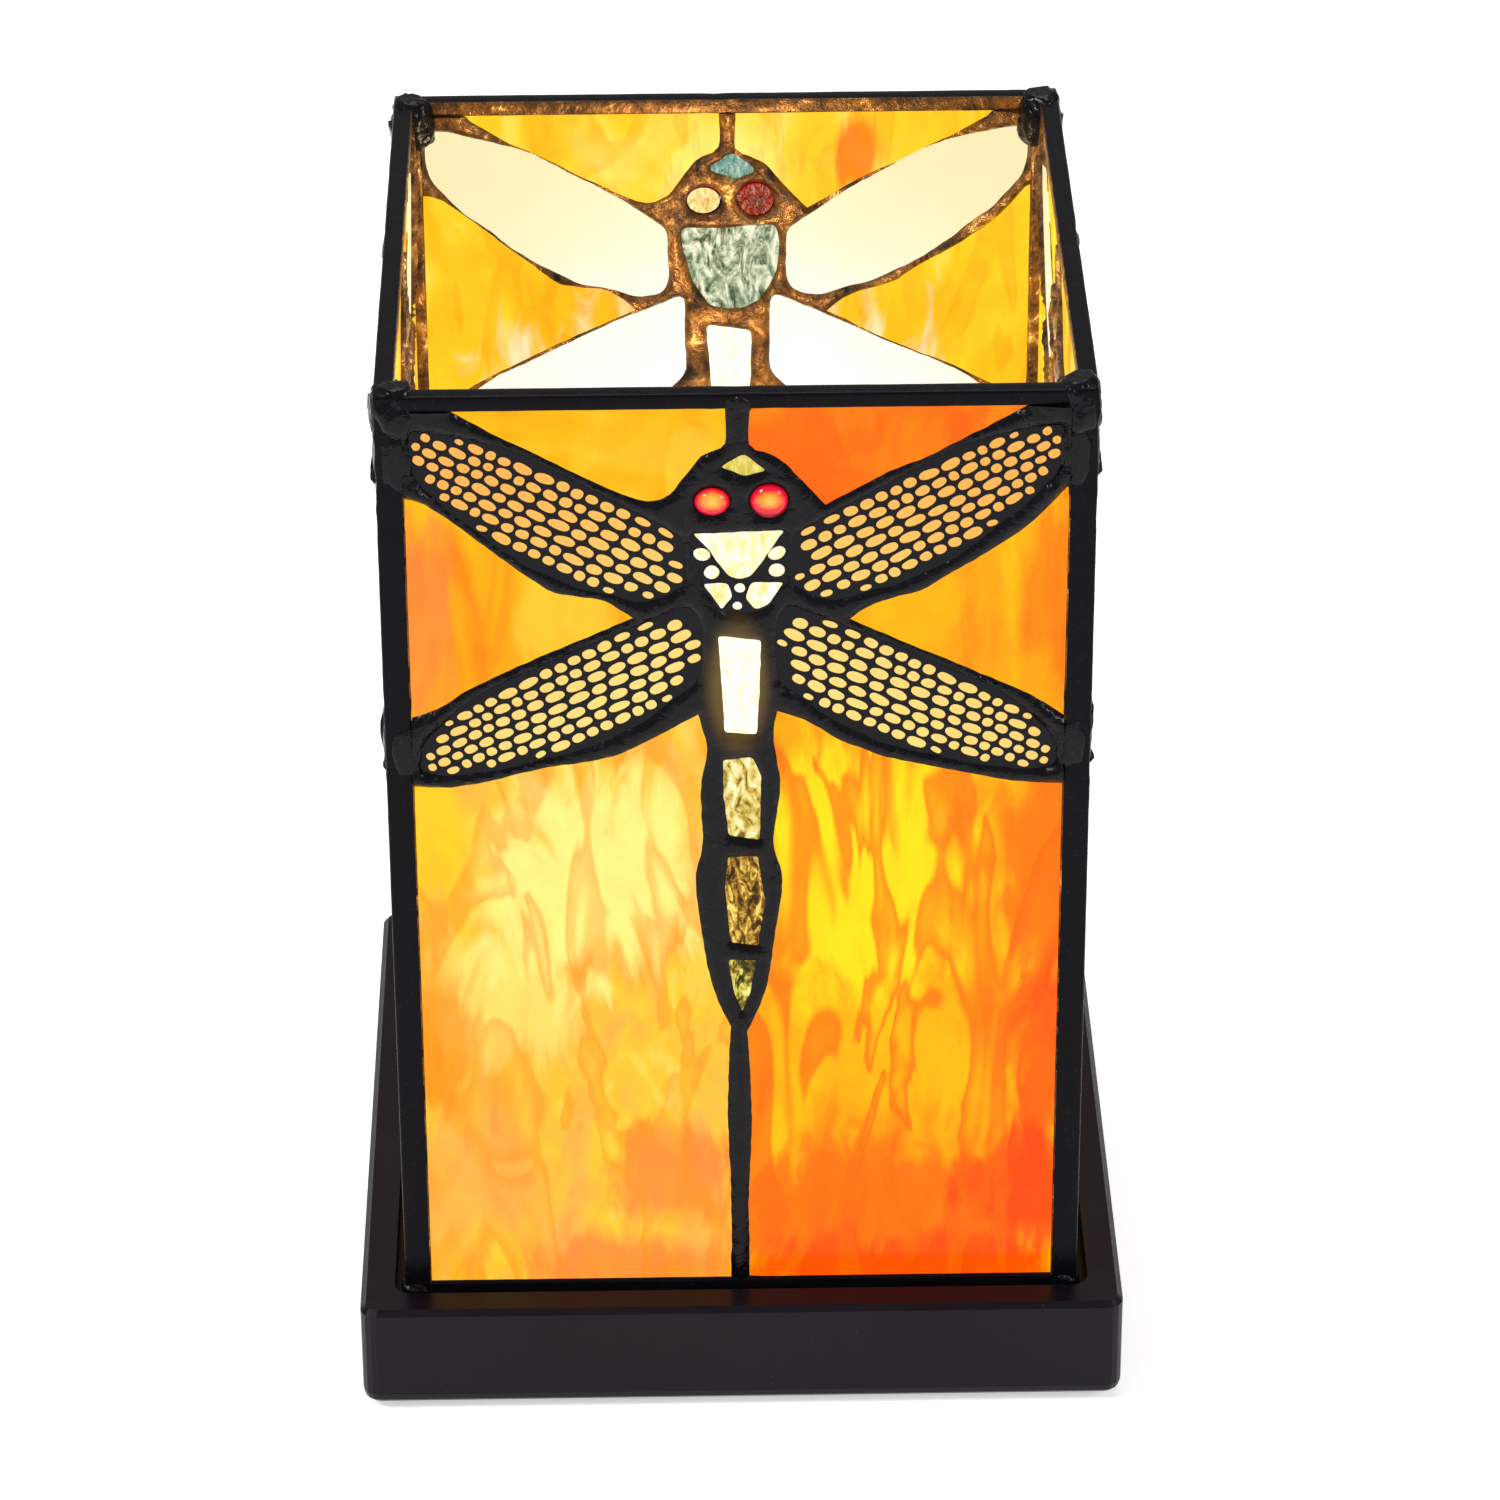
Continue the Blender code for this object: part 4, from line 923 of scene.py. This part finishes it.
def make_filigree(panel):
    """Pierced brass sheets over the wings and the thorax, held by the solder round them."""
    low, high = GLASS_FACE / MM + 0.02, GLASS_FACE / MM + 0.20
    shapes = panel.openings()
    for wing, hand in WING_FRAMES:
        place = f"wing_{wing}_{hand}"
        sheet = shapes[place]
        guard = segments_of([sheet])
        found = (fitted_hole(panel, wing, hand, hole, sheet, guard) for hole in wing_holes())
        holes = [outline for outline in found if outline]
        mesh = plate(f"{panel.side}_pierced_{place}", sheet, holes, low, high)
        nodes = [f"front_filigree_{place}"] if panel.side == "front" else [f"{panel.side}_glass"]
        add_piece(mesh.name, mesh, [FILIGREE_LOOK], "shade", panel.matrix, 40, nodes)
    holes = [panel.bent(rounded(outline, 0.7, 0.5)) for outline in THORAX_WINDOWS]
    holes += [panel.bent(oval(c, w, h, turn, 14)) for c, w, h, turn in THORAX_OVALS]
    sheet = shapes["thorax"]
    mesh = plate(f"{panel.side}_pierced_thorax", sheet, holes, low, high)
    nodes = ["front_filigree_thorax"] if panel.side == "front" else [f"{panel.side}_glass"]
    add_piece(mesh.name, mesh, [FILIGREE_LOOK], "shade", panel.matrix, 40, nodes)


# ---------------------------------------------------------------- frame of the shade


def lumpy(mesh, amount, scale, seed):
    """Pushes each vertex out by smooth noise; amount maps a point to the size of the lumps there."""
    mesh.update()
    normals = [v.normal.copy() for v in mesh.vertices]
    for vertex, normal in zip(mesh.vertices, normals):
        place = vertex.co / MM
        push = noise.noise(place * scale + Vector((seed, 0, 0))) + 0.5 * noise.noise(place * scale * 2.3)
        vertex.co += normal * push * amount(place) * MM


def bar_mesh(name, low, high, bevel, step):
    """A box with rounded edges, cut into short lengths along its longest side."""
    bm = bmesh.new()
    size = Vector(high) - Vector(low)
    matrix = Matrix.Translation((Vector(low) + Vector(high)) / 2) @ Matrix.Diagonal((*size, 1))
    bmesh.ops.create_cube(bm, size=1, matrix=matrix)
    bmesh.ops.bevel(bm, geom=bm.edges[:], offset=bevel, segments=3, profile=0.5, affect="EDGES")
    longest = max(range(3), key=lambda i: size[i])
    normal = Vector([float(i == longest) for i in range(3)])
    count = int(size[longest] / step)
    for i in range(1, count):
        place = Vector(low) + normal * (size[longest] * i / count)
        bmesh.ops.bisect_plane(bm, geom=bm.verts[:] + bm.edges[:] + bm.faces[:], plane_co=place, plane_no=normal)
    mesh = bpy.data.meshes.new(name)
    bm.to_mesh(mesh)
    bm.free()
    return mesh


def make_posts():
    corners = {"front_right": 0, "back_right": 90, "back_left": 180, "front_left": 270}
    rise = POST_HIGH[2] / MM
    joints = (OPENING_FLOOR / MM + 110, OPENING_FLOOR / MM + 164)

    def size(place):
        top = max(0.0, 1 - (rise - place.z) / 16)
        at_joint = max(math.exp(-((place.z - z) / 8) ** 2) for z in joints)
        return 0.03 + 0.5 * top + 0.35 * at_joint

    for corner, turn in corners.items():
        name = f"post_{corner}"
        low = Vector((POST_LOW[0], POST_LOW[1], POST_LOW[2]))
        high = Vector((POST_HIGH[0], POST_HIGH[1], POST_HIGH[2] - 0.8 * MM))
        mesh = bar_mesh(name, low, high, 0.5 * MM, 1.5 * MM)
        lumpy(mesh, size, 0.35, turn)
        place = Matrix.Rotation(math.radians(turn), 4, "Z")
        obj = add_piece(name, mesh, [PATINA_STRIP, COPPER_LOOK], "shade", place, 50,
                        [f"corner_post_{corner}"])
        for face in obj.data.polygons:
            face.material_index = 1 if face.normal.x < -0.7 or face.normal.y > 0.7 else 0


def make_channels(panel):
    for kind, box in (("rim", (RIM_LOW, RIM_HIGH)), ("foot", (FOOT_LOW, FOOT_HIGH))):
        low = Vector((-OPENING_HALF - 1 * MM, box[0][2] - OPENING_FLOOR, -CHANNEL_DEPTH))
        high = Vector((OPENING_HALF + 1 * MM, box[1][2] - OPENING_FLOOR, 0.0))
        name = f"{kind}_bar_{panel.side}"
        mesh = bar_mesh(name, low, high, 0.45 * MM, 2.0 * MM)
        lumpy(mesh, lambda place: 0.04 + 0.2 * math.exp(-(place.x / 5) ** 2), 0.2, panel.seed)
        obj = add_piece(name, mesh, [PATINA_STRIP, COPPER_LOOK], "shade", panel.matrix, 50,
                        [f"{kind}_channel_{panel.side}"])
        two_faced(obj.data)


def make_blob(name, size, seed, place, look):
    """A lump of solder: a ball with its sides squared a little, swollen by noise; size in millimetres."""
    bm = bmesh.new()
    bmesh.ops.create_icosphere(bm, subdivisions=4, radius=1.0)
    for vertex in bm.verts:
        p = vertex.co.copy()
        swell = 1 + 0.20 * noise.noise(p * 1.6 + Vector((seed, 0, 0))) + 0.09 * noise.noise(p * 4.5 + Vector((0, seed, 0)))
        vertex.co = Vector([math.copysign(abs(c) ** 0.88, c) * s * swell * MM for c, s in zip(p, size)])
    mesh = bpy.data.meshes.new(name)
    bm.to_mesh(mesh)
    bm.free()
    ceiling = cad_box[1][2] - 0.05 * MM
    turn_back = place.inverted()
    for vertex in mesh.vertices:
        spot = place @ vertex.co
        if spot.z > ceiling:
            spot.z = ceiling
            vertex.co = turn_back @ spot
    add_piece(name, mesh, [look], "shade", place, 60)


def make_joint_solder(panel, look):
    """Solder run over the frame where the neck and the wing tips meet it."""
    spots = {"neck": ((0.2, panel.height + 0.7, -0.6), (2.5, 1.9, 1.0))}
    for hand, sign in SIDES.items():
        spots[f"upper_tip_{hand}"] = ((sign * (panel.half + 1.2), 165.0, -0.7), (2.9, 6.2, 1.05))
        spots[f"lower_tip_{hand}"] = ((sign * (panel.half + 1.2), 109.8, -0.7), (2.9, 5.6, 1.05))
    for number, (name, (centre, size)) in enumerate(spots.items()):
        place = panel.matrix @ Matrix.Translation(Vector(centre) * MM)
        make_blob(f"{panel.side}_solder_{name}", size, panel.seed + 3 * number, place, look)


def make_corner_solder(look):
    """Solder over the head of each post and at its foot."""
    for number, (x, y) in enumerate(((-1, -1), (1, -1), (1, 1), (-1, 1))):
        for kind, height, size in (("top", POST_HIGH[2] - 5.0 * MM, (4.1, 4.1, 5.6)),
                                   ("foot", FOOT_HIGH[2] - 2 * MM, (2.7, 2.7, 2.2))):
            inward = (size[0] - 0.75) * MM
            place = Matrix.Translation((x * (HALF - inward), y * (HALF - inward), height))
            make_blob(f"solder_{kind}_{number}", size, 3.0 * number, place, look)


# ---------------------------------------------------------------- base, socket and bulb


def make_base():
    """The CAD's tray as it is, with its own holes, in the painted-wood look."""
    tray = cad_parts["base_tray"]
    tray.data.materials.clear()
    tray.data.materials.append(painted_wood())


def dress(node, material):
    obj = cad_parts[node]
    obj.data.materials.clear()
    obj.data.materials.append(material)


def make_inner_parts():
    brass = plain_metal("brass_plain", (176, 132, 66), (214, 172, 100), 0.28)
    steel = plain_metal("steel_zinc", (150, 150, 150), (190, 190, 188), 0.3)
    for node in ("socket_nipple", "nipple_washer", "socket_shell", "socket_contact", "bulb_cap"):
        dress(node, brass)
    for node in ("nipple_nut", "bulb_contact"):
        dress(node, steel)
    dress("socket_housing", moulded("phenolic_brown", (34, 24, 20), (48, 34, 28), 0.4))
    dress("cord_bushing", moulded("bushing_black", (16, 16, 16), (28, 28, 28), 0.4))
    pad = moulded("pad_rubber", (22, 22, 22), (36, 36, 36), 0.8)
    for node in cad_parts:
        if node.startswith("base_pad"):
            dress(node, pad)
    dress("bulb_filament", glowing_wire())
    dress("bulb_glass", bulb_glow())


# ---------------------------------------------------------------- camera, light and floor


def make_camera():
    """Looks down at the lamp from the front, a little from its left."""
    yaw, pitch, roll = (math.radians(a) for a in (0.877, 30.324, -0.262))
    ahead = Vector((math.sin(yaw) * math.cos(pitch), math.cos(yaw) * math.cos(pitch), -math.sin(pitch)))
    right = Vector((math.cos(yaw), -math.sin(yaw), 0))
    up = right.cross(ahead)
    turned_right = right * math.cos(roll) + up * math.sin(roll)
    turned_up = up * math.cos(roll) - right * math.sin(roll)
    rows = Matrix((turned_right, turned_up, -ahead)).transposed().to_4x4()
    data = bpy.data.cameras.new("camera")
    data.sensor_width = 36
    data.lens = 151.668
    camera = bpy.data.objects.new("camera", data)
    camera.matrix_world = Matrix.Translation((-0.012224, -0.987593, 0.674557)) @ rows
    bpy.context.scene.collection.objects.link(camera)
    bpy.context.scene.camera = camera


def add_area(name, place, target, size, watts):
    data = bpy.data.lights.new(name, "AREA")
    data.size = size
    data.energy = watts
    lamp = bpy.data.objects.new(name, data)
    lamp.location = place
    lamp.rotation_euler = (Vector(target) - Vector(place)).to_track_quat("-Z", "Y").to_euler()
    bpy.context.scene.collection.objects.link(lamp)


def make_studio():
    world = bpy.data.worlds.new("studio")
    world.use_nodes = True
    background = world.node_tree.nodes["Background"]
    background.inputs["Color"].default_value = (1.0, 1.0, 1.0, 1.0)
    background.inputs["Strength"].default_value = 0.35
    bpy.context.scene.world = world
    bpy.context.scene.view_settings.view_transform = "Standard"
    target = (0, 0, 0.1)
    add_area("key", (-0.7, -0.5, 0.9), target, 0.25, 7)
    add_area("fill", (0.9, -0.6, 0.7), target, 0.3, 4)
    add_area("top", (0.0, 0.5, 1.2), target, 0.6, 5)
    data = bpy.data.lights.new("bulb_light", "POINT")
    data.energy = 0.22
    data.color = (1.0, 0.80, 0.52)
    data.shadow_soft_size = 0.012
    glow = bpy.data.objects.new("bulb_light", data)
    glow.location = (0, 0, BULB_HIGH[2] + 6 * MM)
    bpy.context.scene.collection.objects.link(glow)
    mesh = bpy.data.meshes.new("floor")
    reach = 3.0
    mesh.from_pydata([(-reach, -reach, 0), (reach, -reach, 0), (reach, reach, 0), (-reach, reach, 0)], [], [(0, 1, 2, 3)])
    mesh.materials.append(floor_paper())
    floor = bpy.data.objects.new("floor", mesh)
    floor.location.z = -0.2 * MM
    bpy.context.scene.collection.objects.link(floor)


# ---------------------------------------------------------------- glass of each pane

LEMON = srgb(254, 230, 18)
YELLOW = srgb(254, 210, 16)
PALE = srgb(254, 246, 136)
AMBER = srgb(254, 186, 0)
GOLD = srgb(254, 204, 50)
ORANGE = srgb(254, 146, 4)
DEEP = srgb(253, 106, 2)
RED = srgb(252, 68, 4)
PEACH = srgb(254, 180, 76)
PINK = srgb(254, 134, 58)

PANE_RECIPES = {
    "top_left": dict(
        stops=[(0.0, ORANGE), (0.35, AMBER), (0.7, GOLD), (1.0, YELLOW)], streak=(20, 12), turn=20,
        patches=[((-8, 164), (7, 10), GOLD, 0.8)]),
    "top_right": dict(
        stops=[(0.0, RED), (0.4, DEEP), (0.75, ORANGE), (1.0, AMBER)], streak=(14, 20),
        patches=[((10, 168), (10, 9), DEEP, 0.85)]),
    "middle_left": dict(
        stops=[(0.0, DEEP), (0.3, ORANGE), (0.65, AMBER), (1.0, YELLOW)], streak=(8, 40),
        patches=[((-56, 138), (9, 22), PINK, 0.75), ((-29, 134), (9, 12), GOLD, 0.8)]),
    "middle_right": dict(
        stops=[(0.0, DEEP), (0.3, ORANGE), (0.7, AMBER), (1.0, YELLOW)], streak=(8, 40),
        patches=[((56, 138), (9, 22), DEEP, 0.6), ((29, 136), (10, 12), AMBER, 0.85)]),
    "lower_left": dict(
        stops=[(0.0, PINK), (0.3, PEACH), (0.6, GOLD), (1.0, PALE)], streak=(9, 34),
        veins=(ORANGE, 0.5),
        patches=[((-24, 84), (24, 24), PALE, 0.95), ((-54, 92), (10, 16), YELLOW, 0.8),
                 ((-40, 60), (14, 16), PALE, 0.5), ((-54, 50), (8, 16), ORANGE, 0.75),
                 ((-12, 22), (13, 14), PINK, 0.8), ((-20, 3), (20, 8), PINK, 0.8),
                 ((-48, 22), (12, 12), PEACH, 0.7)]),
    "lower_right": dict(
        stops=[(0.0, DEEP), (0.3, ORANGE), (0.62, AMBER), (1.0, YELLOW)], streak=(8, 34),
        veins=(DEEP, 0.75),
        patches=[((20, 84), (22, 32), LEMON, 0.95), ((53, 84), (9, 28), DEEP, 0.8),
                 ((55, 48), (10, 22), RED, 0.8), ((24, 46), (22, 12), AMBER, 0.85),
                 ((28, 12), (36, 22), DEEP, 0.85), ((50, 20), (14, 12), RED, 0.8),
                 ((28, -2), (38, 12), RED, 0.75)]),
}
INNER_STOPS = [
    (0.0, srgb(240, 150, 14)), (0.3, srgb(252, 190, 26)), (0.6, srgb(254, 212, 40)), (1.0, srgb(255, 236, 120))]
# The first patch is painted light: a pale pool round the bulb's height on the panes' inside faces. The second is a
# deeper tint of the glass.
INNER_PATCHES_AND_LIGHT_POOL = [((0, 92), (52, 46), srgb(255, 250, 214), 0.95), ((-24, 166), (5, 9), DEEP, 0.8)]

_looks = {}


def glass_look(key, **settings):
    if key not in _looks:
        _looks[key] = art_glass("glass_" + key, **settings)
    return _looks[key]


def pane_looks(side, place):
    """The outside and inside looks of one pane."""
    if "wing" in place:
        return [WING_OUTSIDE, WING_INSIDE]
    if place == "head":
        return [HEAD_OUTSIDE, HEAD_INSIDE]
    if place == "thorax":
        return [THORAX_OUTSIDE, THORAX_INSIDE]
    if place == "abdomen_1":
        return [PAINTED_BULB_GLARE, PAINTED_BULB_GLARE]
    if place.startswith("abdomen"):
        return [ABDOMEN_LOOKS[int(place[-1])], THORAX_INSIDE]
    seed = 2.0 + list(PANELS).index(side) * 7.3 + len(place)
    outside = glass_look(f"{side}_{place}", seed=seed, **PANE_RECIPES[place])
    inner = glass_look(f"{side}_{place}_in", seed=seed, stops=INNER_STOPS, streak=(14, 30), veins=(ORANGE, 0.3),
                       patches=INNER_PATCHES_AND_LIGHT_POOL)
    return [outside, inner]


make_camera()
make_studio()

PATINA_LOOK = patina("patina_solder")
PATINA_STRIP = patina("patina_strip", rough=(0.22, 0.34), lumps=0.8, strength=0.12, sheen=0.07, glow=False)
COPPER_LOOK = warm_metal("copper_inside")
FILIGREE_LOOK = filigree_metal()
EYE_LOOK = eye_glass("eye_red", 1.0)
# painted highlight: the left cabochon's back, red glass like the right one, is painted pale gold as if catching the
# bulb's light
EYE_BACKS = {
    "right": ripple_glass("eye_back_red", [(0.0, srgb(70, 2, 2)), (0.6, srgb(150, 12, 6)), (1.0, srgb(236, 90, 40))], 1.0),
    "left": ripple_glass("eye_back_painted_highlight", [(0.0, srgb(214, 150, 60)), (0.4, srgb(250, 214, 130)), (1.0, srgb(255, 250, 220))], 1.0),
}
WING_OUTSIDE = wing_glass("wing_ivory", False)
WING_INSIDE = wing_glass("wing_ivory_lit", True)
HEAD_OUTSIDE = ripple_glass("head_gold", [(0.0, srgb(190, 176, 60)), (0.5, srgb(228, 206, 92)), (1.0, srgb(250, 238, 150))], 1.0)
HEAD_INSIDE = ripple_glass("head_teal", [(0.0, srgb(40, 92, 88)), (0.5, srgb(96, 150, 142)), (1.0, srgb(190, 216, 196))], 1.0)
THORAX_OUTSIDE = ripple_glass("thorax_clear", [
    (0.0, srgb(250, 222, 130)), (0.4, srgb(255, 244, 186)), (0.8, srgb(255, 255, 240))], 1.1, 1.8)
THORAX_INSIDE = ripple_glass("ripple_inside", [
    (0.1, srgb(60, 74, 52)), (0.35, srgb(128, 146, 118)), (0.6, srgb(196, 204, 176)), (0.9, srgb(250, 250, 226))],
    1.0, 2.0)
# painted light: the first segment of the abdomen is near white inside and out, as if the bulb shone straight through it
PAINTED_BULB_GLARE = ripple_glass("abdomen_painted_glare", [(0.0, srgb(255, 244, 176)), (0.5, srgb(255, 252, 220)), (1.0, srgb(255, 255, 250))], 1.3)
ABDOMEN_LOOKS = {
    2: ripple_glass("abdomen_2", [
        (0.15, srgb(120, 92, 24)), (0.4, srgb(214, 184, 84)), (0.6, srgb(248, 228, 140)), (0.85, srgb(255, 252, 214))], 1.0, 1.9),
    3: ripple_glass("abdomen_3", [
        (0.2, srgb(58, 34, 6)), (0.45, srgb(138, 96, 22)), (0.65, srgb(214, 168, 60)), (0.9, srgb(255, 236, 120))], 1.0, 1.3),
    4: ripple_glass("abdomen_4", [
        (0.2, srgb(50, 48, 6)), (0.45, srgb(120, 104, 26)), (0.65, srgb(208, 186, 70)), (0.9, srgb(255, 246, 140))], 1.0, 1.3),
}

for side, turn in PANELS.items():
    panel = Panel(side, turn)
    make_leading(panel, PATINA_LOOK, COPPER_LOOK)
    make_panes(panel)
    make_eyes(panel)
    make_filigree(panel)
    make_channels(panel)
    make_joint_solder(panel, PATINA_LOOK)
make_posts()
make_corner_solder(PATINA_LOOK)
make_base()
make_inner_parts()
